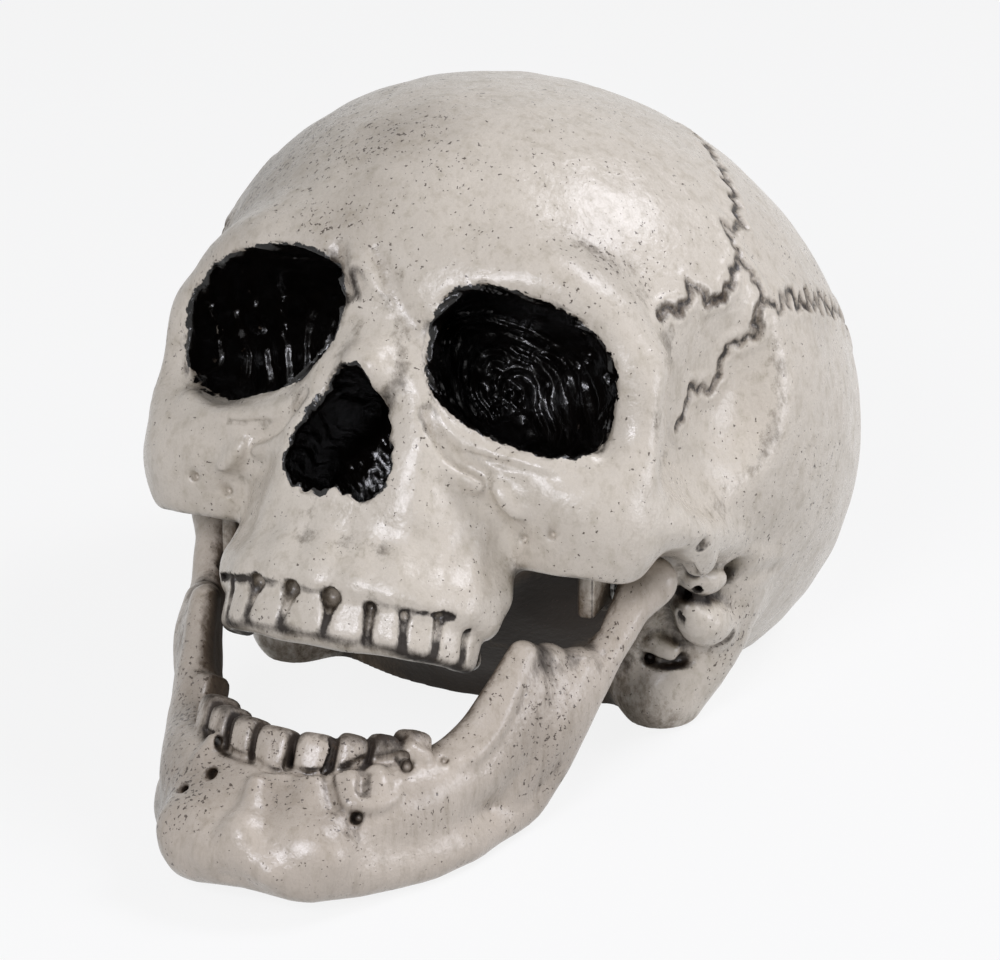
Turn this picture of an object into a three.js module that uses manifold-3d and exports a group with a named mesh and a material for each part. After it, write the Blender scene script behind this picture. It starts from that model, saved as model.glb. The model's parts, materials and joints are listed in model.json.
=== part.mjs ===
// A life-size hollow plastic skull with a jaw that swings on two pins.
// Millimetres, +Z up, the face to -Y, the skull's left side to +X.
import * as THREE from 'three';
import Module from 'manifold-3d';
import { mergeVertices } from 'three/addons/utils/BufferGeometryUtils.js';

const wasm = await Module();
wasm.setup();
const { Manifold, Mesh: SolidMesh } = wasm;

// Driving dimensions of the head.
const skullBreadth = 155;
const skullLength = 207.5;
const skullHeight = 146;
const wallThickness = 2.6;
const headTilt = THREE.MathUtils.degToRad(32);
const baseThickness = 3.2;
const seamGap = 0.3;
const plateClearance = 1.1;

// Driving dimensions of the jaw's hinge.
const pinRadius = 2;
const pinGrooveDepth = 0.5;
const pinEndLength = 1.2;
const lugThickness = 4;
const lugRadius = 7;
const plateForward = 18;
const plateRise = 20;
const plateDrop = 4;
const fossaRadius = 7.6;
const fossaReach = 18;
const bushWall = 1.2;
const bushLength = 7;
const washerRadius = 4.6;
const washerThickness = 0.9;
const clipRadius = 4;
const clipThickness = 0.8;
const runningGap = 0.35;

// Driving dimensions of the screws and their bosses.
const screwRadius = 1.5;
const screwLength = 12;
const screwHeadRadius = 3;
const screwHeadHeight = 1.8;
const screwSlot = 0.8;
const bossRadius = 4.2;
const bossHeight = 34;
const ribThickness = 2.4;
const ribReach = 34;

// Fineness of the surfaces.
const headCell = 2.2;
const jawCell = 1.6;
const headFaces = 5200;
const hollowFaces = 1300;
const jawFaces = 2800;
const roundSides = 16;
const rimPoints = 60;
const rimStep = 1.5;
const cutOverrun = 300;

// The form is drawn in shares: one share across, along and up is this long.
const breadthShare = 1.55;
const lengthShare = 2.075;
const heightShare = 1.46;
const unitX = skullBreadth / breadthShare;
const unitY = skullLength / lengthShare;
const unitZ = skullHeight / heightShare;
const unit = Math.cbrt(unitX * unitY * unitZ);

// Rounded masses: centre, radii, softness of the join, lean about X.
const massShares = [
  [[0, 0.07, 0.275], [0.775, 1.005, 0.7], 0.01, 0.17],
  [[0, -0.45, 0.14], [0.46, 0.38, 0.3], 0.1, 0],
  [[0, -0.62, -0.13], [0.3, 0.27, 0.34], 0.1, 0],
  [[0.44, -0.6, -0.11], [0.18, 0.15, 0.17], 0.08, 0],
  [[0.5, -0.36, -0.01], [0.145, 0.3, 0.13], 0.06, 0],
  [[0, 0.32, -0.35], [0.5, 0.28, 0.35], 0.1, 0],
];

// Ridges of bone: stops of x, y, z and radius, and the softness of the join.
const ridgeShares = {
  brow: [[[0.05, -0.83, 0.3, 0.055], [0.17, -0.84, 0.345, 0.06], [0.33, -0.84, 0.37, 0.06],
    [0.455, -0.76, 0.32, 0.06], [0.53, -0.68, 0.21, 0.06]], 0.08],
  orbitRim: [[[0.535, -0.68, 0.21, 0.055], [0.55, -0.66, 0.08, 0.06], [0.52, -0.68, -0.02, 0.07],
    [0.42, -0.72, -0.07, 0.07], [0.28, -0.77, -0.02, 0.055], [0.15, -0.8, 0.06, 0.04]], 0.06],
  noseSide: [[[0.06, -0.82, 0.27, 0.05], [0.085, -0.86, 0.12, 0.05], [0.125, -0.85, -0.02, 0.06],
    [0.13, -0.81, -0.16, 0.08]], 0.05],
  noseBridge: [[[0, -0.8, 0.27, 0.06], [0, -0.86, 0.18, 0.055], [0.01, -0.925, 0.11, 0.055]], 0.05],
  noseWing: [[[0.05, -0.82, 0.2, 0.05], [0.08, -0.85, 0.11, 0.055]], 0.04],
  cheekArch: [[[0.5, -0.66, -0.09, 0.08], [0.61, -0.52, -0.06, 0.06], [0.635, -0.34, -0.05, 0.045],
    [0.62, -0.18, -0.03, 0.04], [0.58, -0.02, 0, 0.04]], 0.05],
  mastoid: [[[0.57, 0, -0.05, 0.09], [0.53, 0.06, -0.2, 0.12], [0.47, 0.06, -0.36, 0.11]], 0.08],
};

// Hollows in the bone: centre, radii and softness of the edge.
const hollowShares = {
  temple: [[0.7, -0.5, 0.22], [0.13, 0.22, 0.24], 0.08],
  underCheek: [[0.44, -0.47, -0.36], [0.2, 0.25, 0.2], 0.04],
  besideNose: [[0.28, -0.93, -0.1], [0.07, 0.12, 0.1], 0.06],
};

// The eye socket: centre, radii, power, inward turn, droop; the right one differs a little.
const socketShares = {
  centre: [0.315, -0.83, 0.165],
  radii: [0.2, 0.42, 0.152],
  rightRise: 0.028,
  rightWiden: 0.02,
  edge: 0.025,
};
const socketPower = 2.7;
const socketTurn = 0.3;
const socketDroop = 0.18;

// The nose opening in front view, its back wall and edges.
const noseShares = {
  outline: [[0, 0, 0.055, 0.045], [0.025, 0, -0.03, 0.06], [0.05, 0, -0.105, 0.062]],
  rightWiden: 0.2,
  back: -0.55,
  corner: 0.06,
  edge: 0.02,
};

// The upper jaw's arch in plan, and its top, bottom and back.
const archShares = {
  halfWidth: 0.325,
  flare: 0.12,
  depth: 0.38,
  centreY: -0.51,
  gumZ: -0.36,
  top: -0.05,
  bottom: -0.385,
  back: -0.58,
  backSlope: 0.3,
  corner: 0.06,
  join: 0.07,
};
const archPower = 2.6;

// Teeth: place in plan, turn, half width and free end.
const toothShares = {
  upper: [[0.052, -0.88, 0.03, 0.053, -0.5], [0.152, -0.86, 0.32, 0.048, -0.488],
    [0.234, -0.807, 0.75, 0.048, -0.486], [0.27, -0.73, 1.15, 0.05, -0.472]],
  lower: [[0.045, -0.915, 0.05, 0.042, -0.69], [0.128, -0.895, 0.3, 0.043, -0.678],
    [0.2, -0.85, 0.7, 0.043, -0.655], [0.248, -0.785, 1.05, 0.043, -0.632]],
  rightMolar: [-0.305, -0.715, 1.2, 0.05, -0.6],
  depth: 0.045,
  upperHalfHeight: 0.078,
  lowerHalfHeight: 0.062,
  join: 0.012,
};
const toothPower = 3;

// The jaw: strands of stops with x, y, z and radius, and the softness of each join.
const jawShares = {
  gumLine: [[[0, -0.92, -0.79, 0.055], [0.15, -0.9, -0.775, 0.055], [0.235, -0.83, -0.735, 0.055],
    [0.28, -0.75, -0.71, 0.055], [0.315, -0.7, -0.65, 0.045], [0.355, -0.69, -0.56, 0.035],
    [0.385, -0.655, -0.43, 0.03]], 0.01],
  body: [[[0, -0.95, -0.89, 0.05], [0.15, -0.92, -0.88, 0.055], [0.25, -0.83, -0.83, 0.055],
    [0.31, -0.71, -0.76, 0.05], [0.37, -0.61, -0.65, 0.04], [0.42, -0.56, -0.52, 0.035],
    [0.42, -0.57, -0.42, 0.03]], 0.09],
  border: [[[0, -0.985, -1, 0.055], [0.14, -0.955, -1, 0.055], [0.265, -0.79, -0.935, 0.05],
    [0.335, -0.685, -0.875, 0.045], [0.37, -0.565, -0.805, 0.04], [0.4, -0.475, -0.735, 0.04],
    [0.445, -0.45, -0.63, 0.035], [0.48, -0.455, -0.51, 0.033], [0.505, -0.4, -0.36, 0.035],
    [0.525, -0.37, -0.25, 0.04]], 0.09],
  ramus: [[[0.375, -0.55, -0.7, 0.04], [0.415, -0.52, -0.61, 0.038], [0.45, -0.51, -0.51, 0.036],
    [0.46, -0.5, -0.42, 0.03]], 0.08],
  ramusFront: [[[0.335, -0.65, -0.69, 0.04], [0.37, -0.63, -0.6, 0.04], [0.4, -0.61, -0.5, 0.035]], 0.06],
};
const condyleShares = { centre: [0.55, -0.36, -0.19], radii: [0.082, 0.055, 0.062], join: 0.04 };
const chinShares = { centre: [0.11, -0.985, -0.95], radii: [0.1, 0.06, 0.06], join: 0.08 };

// Where the head is cut flat to stand, where it lies on the table at the tilt.
const standShare = -0.415;
const jawLiftShare = 0.012;
const pivotShares = condyleShares.centre;

// Screw places on the base: across and along, in shares of the stand.
const screwShares = [[0.34, 0.06], [-0.34, 0.06], [0.4, 0.42], [-0.4, 0.42], [0.17, 0.78], [-0.17, 0.78]];
const rimCentreShare = 0.42;

// Joins of two distances, rounded over the softness given.
function join(a, b, softness) {
  const nearness = Math.max(softness - Math.abs(a - b), 0);
  return Math.min(a, b) - (nearness * nearness) / (4 * softness);
}

function trim(a, b, softness) {
  return -join(-a, -b, softness);
}

function carve(a, b, softness) {
  return trim(a, -b, softness);
}

// Signed distance to an egg, leaning about X.
function egg(x, y, z, [cx, cy, cz], [rx, ry, rz], lean = 0) {
  const dx = x - cx;
  const dy = (y - cy) * Math.cos(lean) - (z - cz) * Math.sin(lean);
  const dz = (y - cy) * Math.sin(lean) + (z - cz) * Math.cos(lean);
  const near = Math.hypot(dx / rx, dy / ry, dz / rz);
  const steep = Math.hypot(dx / rx ** 2, dy / ry ** 2, dz / rz ** 2);
  return steep === 0 ? -Math.min(rx, ry, rz) : (near * (near - 1)) / steep;
}

// Signed distance to a chain of tapered rods.
function strand(x, y, z, stops) {
  let best = Infinity;
  for (let i = 1; i < stops.length; i += 1) {
    const [ax, ay, az, ar] = stops[i - 1];
    const [bx, by, bz, br] = stops[i];
    const [ex, ey, ez] = [bx - ax, by - ay, bz - az];
    const share = ((x - ax) * ex + (y - ay) * ey + (z - az) * ez) / (ex * ex + ey * ey + ez * ez);
    const t = THREE.MathUtils.clamp(share, 0, 1);
    const reach = Math.hypot(x - ax - t * ex, y - ay - t * ey, z - az - t * ez);
    best = Math.min(best, reach - ar - t * (br - ar));
  }
  return best;
}

// Signed distance to a rounded block, from its local offsets and half sizes.
function block(u, v, w, [ru, rv, rw], power) {
  const sum = Math.abs(u / ru) ** power + Math.abs(v / rv) ** power + Math.abs(w / rw) ** power;
  return (sum ** (1 / power) - 1) * Math.min(ru, rv, rw);
}

function tooth(x, y, z, [px, py, turn, halfWidth, end], halfHeight, side) {
  const u = (x - px) * Math.cos(turn) + (y - py) * Math.sin(turn);
  const v = (y - py) * Math.cos(turn) - (x - px) * Math.sin(turn);
  const w = z - end - side * halfHeight;
  return block(u, v, w, [halfWidth, toothShares.depth, halfHeight], toothPower);
}

function eyeSocket(x, y, z) {
  const { centre, radii, rightRise, rightWiden } = socketShares;
  const right = x < 0 ? 1 : 0;
  const dx = Math.abs(x) - centre[0];
  const dy = y - centre[1];
  const dz = z - centre[2] - rightRise * right;
  const u = dx * Math.cos(socketTurn) + dy * Math.sin(socketTurn);
  const v = dy * Math.cos(socketTurn) - dx * Math.sin(socketTurn);
  const w = dz + socketDroop * dx;
  return block(u, v, w, [radii[0] + rightWiden * right, radii[1], radii[2]], socketPower);
}

function noseOpening(x, y, z) {
  const spread = x < 0 ? 1 + noseShares.rightWiden : 1;
  const front = strand(Math.abs(x) / spread, 0, z, noseShares.outline);
  return trim(front, y - noseShares.back, noseShares.corner);
}

function upperJaw(x, y, z) {
  const { halfWidth, flare, depth, centreY, gumZ, top, bottom, back, backSlope, corner } = archShares;
  const width = halfWidth - flare * (z - gumZ);
  const sum = Math.abs(x / width) ** archPower + Math.abs((y - centreY) / depth) ** archPower;
  const plan = (sum ** (1 / archPower) - 1) * width;
  const capped = trim(trim(plan, z - top, corner), bottom - z, corner);
  return trim(capped, y - back - backSlope * (z - bottom), corner);
}

// The head, in shares; negative inside.
function headForm(x, y, z) {
  const side = Math.abs(x);
  let form = Infinity;
  for (const [centre, radii, softness, lean] of massShares) {
    form = join(form, egg(side, y, z, centre, radii, lean), softness);
  }
  form = join(form, upperJaw(side, y, z), archShares.join);
  for (const [stops, softness] of Object.values(ridgeShares)) {
    form = join(form, strand(side, y, z, stops), softness);
  }
  for (const [centre, radii, softness] of Object.values(hollowShares)) {
    form = carve(form, egg(side, y, z, centre, radii), softness);
  }
  form = carve(form, eyeSocket(x, y, z), socketShares.edge);
  form = carve(form, noseOpening(x, y, z), noseShares.edge);
  for (const place of toothShares.upper) {
    form = join(form, tooth(side, y, z, place, toothShares.upperHalfHeight, 1), toothShares.join);
  }
  return form;
}

// The lower jaw as it hangs open, in shares; negative inside.
function jawForm(x, y, z) {
  const side = Math.abs(x);
  let form = Infinity;
  for (const [stops, softness] of Object.values(jawShares)) {
    form = join(form, strand(side, y, z, stops), softness);
  }
  form = join(form, egg(side, y, z, chinShares.centre, chinShares.radii), chinShares.join);
  form = join(form, egg(side, y, z, condyleShares.centre, condyleShares.radii), condyleShares.join);
  for (const place of toothShares.lower) {
    form = join(form, tooth(side, y, z, place, toothShares.lowerHalfHeight, -1), toothShares.join);
  }
  return join(form, tooth(x, y, z, toothShares.rightMolar, toothShares.lowerHalfHeight, -1), toothShares.join);
}

// Closed surface of a form, by six tetrahedra in each cube of a grid.
const tetrahedra = [[0, 1, 3, 7], [0, 3, 2, 7], [0, 2, 6, 7], [0, 6, 4, 7], [0, 4, 5, 7], [0, 5, 1, 7]];
const flatEdge = 0.03;

function surfaceOf(form, lowShares, highShares, cell) {
  const units = [unitX, unitY, unitZ];
  const low = lowShares.map((share, axis) => share * units[axis]);
  const counts = highShares.map((share, axis) => Math.ceil((share * units[axis] - low[axis]) / cell) + 1);
  const [nx, ny, nz] = counts;
  const total = nx * ny * nz;
  const values = new Float64Array(total);
  let place = 0;
  for (let k = 0; k < nz; k += 1) {
    for (let j = 0; j < ny; j += 1) {
      for (let i = 0; i < nx; i += 1) {
        const x = (low[0] + i * cell) / unitX;
        const y = (low[1] + j * cell) / unitY;
        const z = (low[2] + k * cell) / unitZ;
        values[place] = form(x, y, z) * unit;
        place += 1;
      }
    }
  }
  const steps = [1, nx, nx * ny];
  const offsets = [];
  for (let c = 0; c < 8; c += 1) {
    offsets.push((c & 1) * steps[0] + ((c >> 1) & 1) * steps[1] + ((c >> 2) & 1) * steps[2]);
  }
  const points = [];
  const faces = [];
  const made = new Map();
  const cut = (a, b) => {
    const key = a < b ? a * total + b : b * total + a;
    if (!made.has(key)) {
      const t = THREE.MathUtils.clamp(values[a] / (values[a] - values[b]), flatEdge, 1 - flatEdge);
      const from = [a % nx, Math.floor(a / nx) % ny, Math.floor(a / (nx * ny))];
      const to = [b % nx, Math.floor(b / nx) % ny, Math.floor(b / (nx * ny))];
      made.set(key, points.length / 3);
      points.push(...from.map((f, axis) => low[axis] + cell * (f + t * (to[axis] - f))));
    }
    return made.get(key);
  };
  const cubeFaces = (base) => {
    for (const corners of tetrahedra) {
      const tetra = corners.map((c) => base + offsets[c]);
      const within = tetra.filter((c) => values[c] < 0);
      const without = tetra.filter((c) => values[c] >= 0);
      if (within.length === 0 || without.length === 0) continue;
      const order = [...within, ...without].map((c) => tetra.indexOf(c));
      let swaps = 0;
      for (let a = 0; a < 4; a += 1) {
        for (let b = a + 1; b < 4; b += 1) swaps += order[a] > order[b] ? 1 : 0;
      }
      const ring = within.length === 2
        ? [cut(within[0], without[0]), cut(within[0], without[1]),
          cut(within[1], without[1]), cut(within[1], without[0])]
        : within.flatMap((a) => without.map((b) => cut(a, b)));
      if (swaps % 2 === 1) ring.reverse();
      for (let n = 2; n < ring.length; n += 1) faces.push([ring[0], ring[n - 1], ring[n]]);
    }
  };
  for (let k = 0; k < nz - 1; k += 1) {
    for (let j = 0; j < ny - 1; j += 1) {
      for (let i = 0; i < nx - 1; i += 1) {
        const base = i * steps[0] + j * steps[1] + k * steps[2];
        const inside = offsets.reduce((sum, o) => sum + (values[base + o] < 0 ? 1 : 0), 0);
        if (inside > 0 && inside < 8) cubeFaces(base);
      }
    }
  }
  return mainBody({ points, faces });
}

// The largest closed body of a surface that may have stray ones.
function mainBody({ points, faces }) {
  const parent = Array.from({ length: points.length / 3 }, (_, v) => v);
  const rootOf = (v) => {
    let root = v;
    while (parent[root] !== root) {
      parent[root] = parent[parent[root]];
      root = parent[root];
    }
    return root;
  };
  for (const [a, b, c] of faces) {
    parent[rootOf(a)] = rootOf(b);
    parent[rootOf(b)] = rootOf(c);
  }
  const sizes = new Map();
  for (const [a] of faces) sizes.set(rootOf(a), (sizes.get(rootOf(a)) ?? 0) + 1);
  const [largest] = [...sizes].sort((one, other) => other[1] - one[1])[0];
  return { points, faces: faces.filter(([a]) => rootOf(a) === largest) };
}

// Edges are collapsed, the flattest first, until few faces are left.
function thinned({ points, faces }, target) {
  const position = Float64Array.from(points);
  const count = position.length / 3;
  const error = new Float64Array(count * 10);
  const stamp = new Uint32Array(count);
  const around = Array.from({ length: count }, () => new Set());
  const at = (v) => [position[3 * v], position[3 * v + 1], position[3 * v + 2]];
  const normal = (a, b, c) => {
    const u = [b[0] - a[0], b[1] - a[1], b[2] - a[2]];
    const v = [c[0] - a[0], c[1] - a[1], c[2] - a[2]];
    return [u[1] * v[2] - u[2] * v[1], u[2] * v[0] - u[0] * v[2], u[0] * v[1] - u[1] * v[0]];
  };
  faces.forEach((face, f) => {
    const [a, b, c] = face.map(at);
    const n = normal(a, b, c);
    const size = Math.hypot(...n) || Number.MIN_VALUE;
    const [p, q, r] = n.map((value) => value / size);
    const d = -(p * a[0] + q * a[1] + r * a[2]);
    const plane = [p * p, p * q, p * r, p * d, q * q, q * r, q * d, r * r, r * d, d * d];
    for (const v of face) {
      around[v].add(f);
      for (let i = 0; i < 10; i += 1) error[10 * v + i] += plane[i] * size;
    }
  });
  const cost = (e, [x, y, z]) => e[0] * x * x + 2 * e[1] * x * y + 2 * e[2] * x * z + 2 * e[3] * x
    + e[4] * y * y + 2 * e[5] * y * z + 2 * e[6] * y + e[7] * z * z + 2 * e[8] * z + e[9];
  const best = (u, v) => {
    const e = new Float64Array(10);
    for (let i = 0; i < 10; i += 1) e[i] = error[10 * u + i] + error[10 * v + i];
    const [a, b] = [at(u), at(v)];
    const choices = [a, b, a.map((value, i) => (value + b[i]) / 2)];
    const c0 = e[4] * e[7] - e[5] * e[5];
    const c1 = e[2] * e[5] - e[1] * e[7];
    const c2 = e[1] * e[5] - e[2] * e[4];
    const det = e[0] * c0 + e[1] * c1 + e[2] * c2;
    const scale = (e[0] + e[4] + e[7]) ** 3;
    if (Math.abs(det) > scale * 1e-4) {
      const x = -(e[3] * c0 + e[6] * c1 + e[8] * c2) / det;
      const y = -(e[3] * c1 + e[6] * (e[0] * e[7] - e[2] * e[2]) + e[8] * (e[1] * e[2] - e[0] * e[5])) / det;
      const z = -(e[3] * c2 + e[6] * (e[1] * e[2] - e[0] * e[5]) + e[8] * (e[0] * e[4] - e[1] * e[1])) / det;
      const edge = Math.hypot(a[0] - b[0], a[1] - b[1], a[2] - b[2]);
      if (Math.hypot(x - a[0], y - a[1], z - a[2]) < 2 * edge) choices.push([x, y, z]);
    }
    let found = null;
    for (const spot of choices) {
      const value = cost(e, spot);
      if (found === null || value < found.value) found = { value, spot };
    }
    return found;
  };
  const heap = [];
  const push = (item) => {
    let i = heap.length;
    heap.push(item);
    while (i > 0) {
      const parent = (i - 1) >> 1;
      if (heap[parent][0] <= item[0]) break;
      heap[i] = heap[parent];
      i = parent;
    }
    heap[i] = item;
  };
  const pop = () => {
    const top = heap[0];
    const last = heap.pop();
    if (heap.length > 0) {
      let i = 0;
      for (;;) {
        let child = 2 * i + 1;
        if (child >= heap.length) break;
        if (child + 1 < heap.length && heap[child + 1][0] < heap[child][0]) child += 1;
        if (heap[child][0] >= last[0]) break;
        heap[i] = heap[child];
        i = child;
      }
      heap[i] = last;
    }
    return top;
  };
  const neighbours = (v) => {
    const found = new Set();
    for (const f of around[v]) for (const w of faces[f]) if (w !== v) found.add(w);
    return found;
  };
  const offer = (u, v) => push([best(u, v).value, u, v, stamp[u], stamp[v]]);
  for (let v = 0; v < count; v += 1) for (const w of neighbours(v)) if (v < w) offer(v, w);
  const turns = (v, gone, spot) => {
    for (const f of around[v]) {
      if (faces[f].includes(gone)) continue;
      const before = normal(...faces[f].map(at));
      const after = normal(...faces[f].map((w) => (w === v ? spot : at(w))));
      const dot = before[0] * after[0] + before[1] * after[1] + before[2] * after[2];
      if (dot < 0.3 * Math.hypot(...before) * Math.hypot(...after)) return true;
    }
    return false;
  };
  let left = faces.length;
  while (left > target && heap.length > 0) {
    const [, u, v, stampU, stampV] = pop();
    if (stamp[u] !== stampU || stamp[v] !== stampV) continue;
    const nearV = neighbours(v);
    const shared = [...neighbours(u)].filter((w) => nearV.has(w));
    if (shared.length !== 2) continue;
    const { spot } = best(u, v);
    if (turns(u, v, spot) || turns(v, u, spot)) continue;
    for (const f of [...around[v]]) {
      if (faces[f].includes(u)) {
        for (const w of faces[f]) around[w].delete(f);
        faces[f] = null;
        left -= 1;
      } else {
        faces[f] = faces[f].map((w) => (w === v ? u : w));
        around[u].add(f);
      }
    }
    around[v].clear();
    stamp[v] += 1;
    for (let i = 0; i < 3; i += 1) position[3 * u + i] = spot[i];
    for (let i = 0; i < 10; i += 1) error[10 * u + i] += error[10 * v + i];
    const ring = neighbours(u);
    stamp[u] += 1;
    for (const w of ring) offer(u, w);
  }
  return { points: position, faces: faces.filter((face) => face !== null) };
}

// Solids and geometries.
function solidFrom(points, faces) {
  const names = new Map();
  const kept = [];
  const corners = faces.flat().map((v) => {
    if (!names.has(v)) {
      names.set(v, kept.length / 3);
      kept.push(points[3 * v], points[3 * v + 1], points[3 * v + 2]);
    }
    return names.get(v);
  });
  return new Manifold(new SolidMesh({
    numProp: 3,
    vertProperties: Float32Array.from(kept),
    triVerts: Uint32Array.from(corners),
  }));
}

function solidOf(geometry) {
  const bare = geometry.clone();
  bare.deleteAttribute('normal');
  bare.deleteAttribute('uv');
  const merged = mergeVertices(bare);
  return new Manifold(new SolidMesh({
    numProp: 3,
    vertProperties: Float32Array.from(merged.attributes.position.array),
    triVerts: Uint32Array.from(merged.index.array),
  }));
}

function geometryOf(solid) {
  const mesh = solid.getMesh();
  const geometry = new THREE.BufferGeometry();
  geometry.setAttribute('position', new THREE.BufferAttribute(Float32Array.from(mesh.vertProperties), 3));
  geometry.setIndex(new THREE.BufferAttribute(Uint32Array.from(mesh.triVerts), 1));
  return geometry;
}

// A round bar along X, from one x to another.
function barAcross(radius, from, to, y, z) {
  const bar = new THREE.CylinderGeometry(radius, radius, Math.abs(to - from), roundSides);
  bar.rotateZ(Math.PI / 2);
  bar.translate((from + to) / 2, y, z);
  return solidOf(bar);
}

// A round bar along Z, from one height to another.
function barUp(radius, from, to, x, y) {
  const bar = new THREE.CylinderGeometry(radius, radius, to - from, roundSides);
  bar.rotateX(Math.PI / 2);
  bar.translate(x, y, (from + to) / 2);
  return solidOf(bar);
}

function box(low, high) {
  const sizes = high.map((value, axis) => value - low[axis]);
  const shape = new THREE.BoxGeometry(...sizes);
  shape.translate(...high.map((value, axis) => (value + low[axis]) / 2));
  return solidOf(shape);
}

// Everything stands tilted: a point drawn upright, in shares, where it stands.
const standZ = standShare * unit;
function standing([sx, sy, sz]) {
  const y = sy * unitY;
  const z = sz * unitZ;
  return [
    sx * unitX,
    y * Math.cos(headTilt) + z * Math.sin(headTilt),
    z * Math.cos(headTilt) - y * Math.sin(headTilt) - standZ,
  ];
}

function fromStanding([x, y, z]) {
  const height = z + standZ;
  return [
    x / unitX,
    (y * Math.cos(headTilt) - height * Math.sin(headTilt)) / unitY,
    (height * Math.cos(headTilt) + y * Math.sin(headTilt)) / unitZ,
  ];
}

function tilted({ points, faces }) {
  const moved = [];
  for (let i = 0; i < points.length; i += 3) {
    moved.push(...standing([points[i] / unitX, points[i + 1] / unitY, points[i + 2] / unitZ]));
  }
  return solidFrom(moved, faces);
}

const headLow = [-0.82, -1.06, -0.76];
const headHigh = [0.82, 1.12, 1.02];
const jawLow = [-0.66, -1.08, -1.08];
const jawHigh = [0.66, -0.26, -0.08];

const [, pivotY, pivotZ] = standing(pivotShares);
const condyleInner = (condyleShares.centre[0] - condyleShares.radii[0]) * unitX + 2 * runningGap;
const washerInner = condyleInner - runningGap - washerThickness;
const lugOuter = washerInner - runningGap;
const lugInner = lugOuter - lugThickness;
const clipOuter = lugInner - runningGap;
const clipInner = clipOuter - clipThickness;
const pinInner = clipInner - runningGap - pinEndLength;
const bushInner = condyleInner + runningGap;
const bushOuter = bushInner + bushLength;
const boreRadius = pinRadius + runningGap;
const bushRadius = boreRadius + bushWall;
const socketRadius = bushRadius + seamGap;

function bothSides(make) {
  return [make(1), make(-1)];
}

function union(solids) {
  return solids.reduce((sum, solid) => sum.add(solid));
}

function screwPlaces() {
  return screwShares.map(([across, along]) => [across * unitX, along * unitY]);
}

// The head's outside and the hollow inside it.
const outside = tilted(thinned(surfaceOf(headForm, headLow, headHigh, headCell), headFaces));
const inset = wallThickness / unit;
const hollowForm = (x, y, z) => headForm(x, y, z) + inset;
const inside = tilted(thinned(surfaceOf(hollowForm, headLow, headHigh, headCell), hollowFaces));
const far = cutOverrun;
const aboveFloor = box([-far, -far, 0], [far, far, far]);

function craniumShell() {
  const bottom = baseThickness + seamGap;
  const posts = [];
  for (const [x, y] of screwPlaces()) {
    posts.push(barUp(bossRadius, bottom, bossHeight, x, y));
    const rib = new THREE.BoxGeometry(ribReach, ribThickness, bossHeight - bottom);
    rib.translate(ribReach / 2, 0, (bossHeight + bottom) / 2);
    rib.rotateZ(Math.atan2(y - rimCentreShare * unitY, x));
    rib.translate(x, y, 0);
    posts.push(solidOf(rib));
  }
  // Round each clip and each condyle the hollow is filled, and a pocket is cut from below.
  const pocketRadius = clipRadius + seamGap;
  const pocketEnd = pinInner - runningGap;
  const fossaEnd = lugOuter + fossaReach;
  let hollow = inside;
  for (const side of [1, -1]) {
    const from = side * (pocketEnd - wallThickness);
    const to = side * (fossaEnd + wallThickness);
    hollow = hollow.subtract(barAcross(pocketRadius + wallThickness, from, side * lugOuter, pivotY, pivotZ));
    hollow = hollow.subtract(barAcross(fossaRadius + wallThickness, side * lugInner, to, pivotY, pivotZ));
  }
  let shell = outside.intersect(aboveFloor).subtract(hollow).add(union(posts).intersect(outside));
  for (const side of [1, -1]) {
    const [from, to] = [side * lugInner, side * lugOuter].sort((a, b) => a - b);
    const plate = box([from, pivotY - plateForward, pivotZ - plateDrop], [to, pivotY + lugRadius, pivotZ + plateRise]);
    const lug = barAcross(lugRadius, from, to, pivotY, pivotZ).add(plate.subtract(hollow));
    const bore = barAcross(boreRadius, side * (lugInner - seamGap), side * (lugOuter + seamGap), pivotY, pivotZ);
    const pocket = barAcross(pocketRadius, side * pocketEnd, side * lugInner, pivotY, pivotZ);
    const fossa = barAcross(fossaRadius, side * lugOuter, side * fossaEnd, pivotY, pivotZ);
    shell = shell.subtract(fossa).add(lug).subtract(bore).subtract(pocket);
  }
  for (const [x, y] of screwPlaces()) {
    shell = shell.subtract(barUp(screwRadius + seamGap, 0, screwLength + seamGap, x, y));
  }
  return shell;
}

// The plate under the head fills the rim where the hollow meets the table.
function rimOutline() {
  const edges = [];
  const middle = rimCentreShare * unitY;
  const spot = (angle, reach) => {
    const share = fromStanding([reach * Math.cos(angle), middle + reach * Math.sin(angle), 0]);
    return hollowForm(...share);
  };
  for (let i = 0; i < rimPoints; i += 1) {
    const angle = (2 * Math.PI * i) / rimPoints;
    let reach = rimStep;
    while (spot(angle, reach + rimStep) < 0) reach += rimStep;
    const [near, beyond] = [spot(angle, reach), spot(angle, reach + rimStep)];
    edges.push(reach + (rimStep * near) / (near - beyond) - plateClearance);
  }
  const nearest = (list, i, pick) => pick([i - 1, i, i + 1].map((n) => list[(n + rimPoints) % rimPoints]));
  const least = edges.map((_, i) => nearest(edges, i, (three) => Math.min(...three)));
  const smooth = least.map((_, i) => nearest(least, i, (three) => (three[0] + three[1] + three[2]) / 3));
  return smooth.map((edge, i) => {
    const angle = (2 * Math.PI * i) / rimPoints;
    const reach = Math.min(edge, edges[i]);
    return new THREE.Vector2(reach * Math.cos(angle), middle + reach * Math.sin(angle));
  });
}

function skullBase() {
  const plate = new THREE.ExtrudeGeometry(new THREE.Shape(rimOutline()), {
    depth: baseThickness,
    bevelEnabled: false,
  });
  let base = solidOf(plate);
  for (const [x, y] of screwPlaces()) {
    base = base.subtract(barUp(screwRadius + seamGap, -far, far, x, y));
    base = base.subtract(barUp(screwHeadRadius + seamGap, -far, screwHeadHeight, x, y));
  }
  return base;
}

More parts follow.
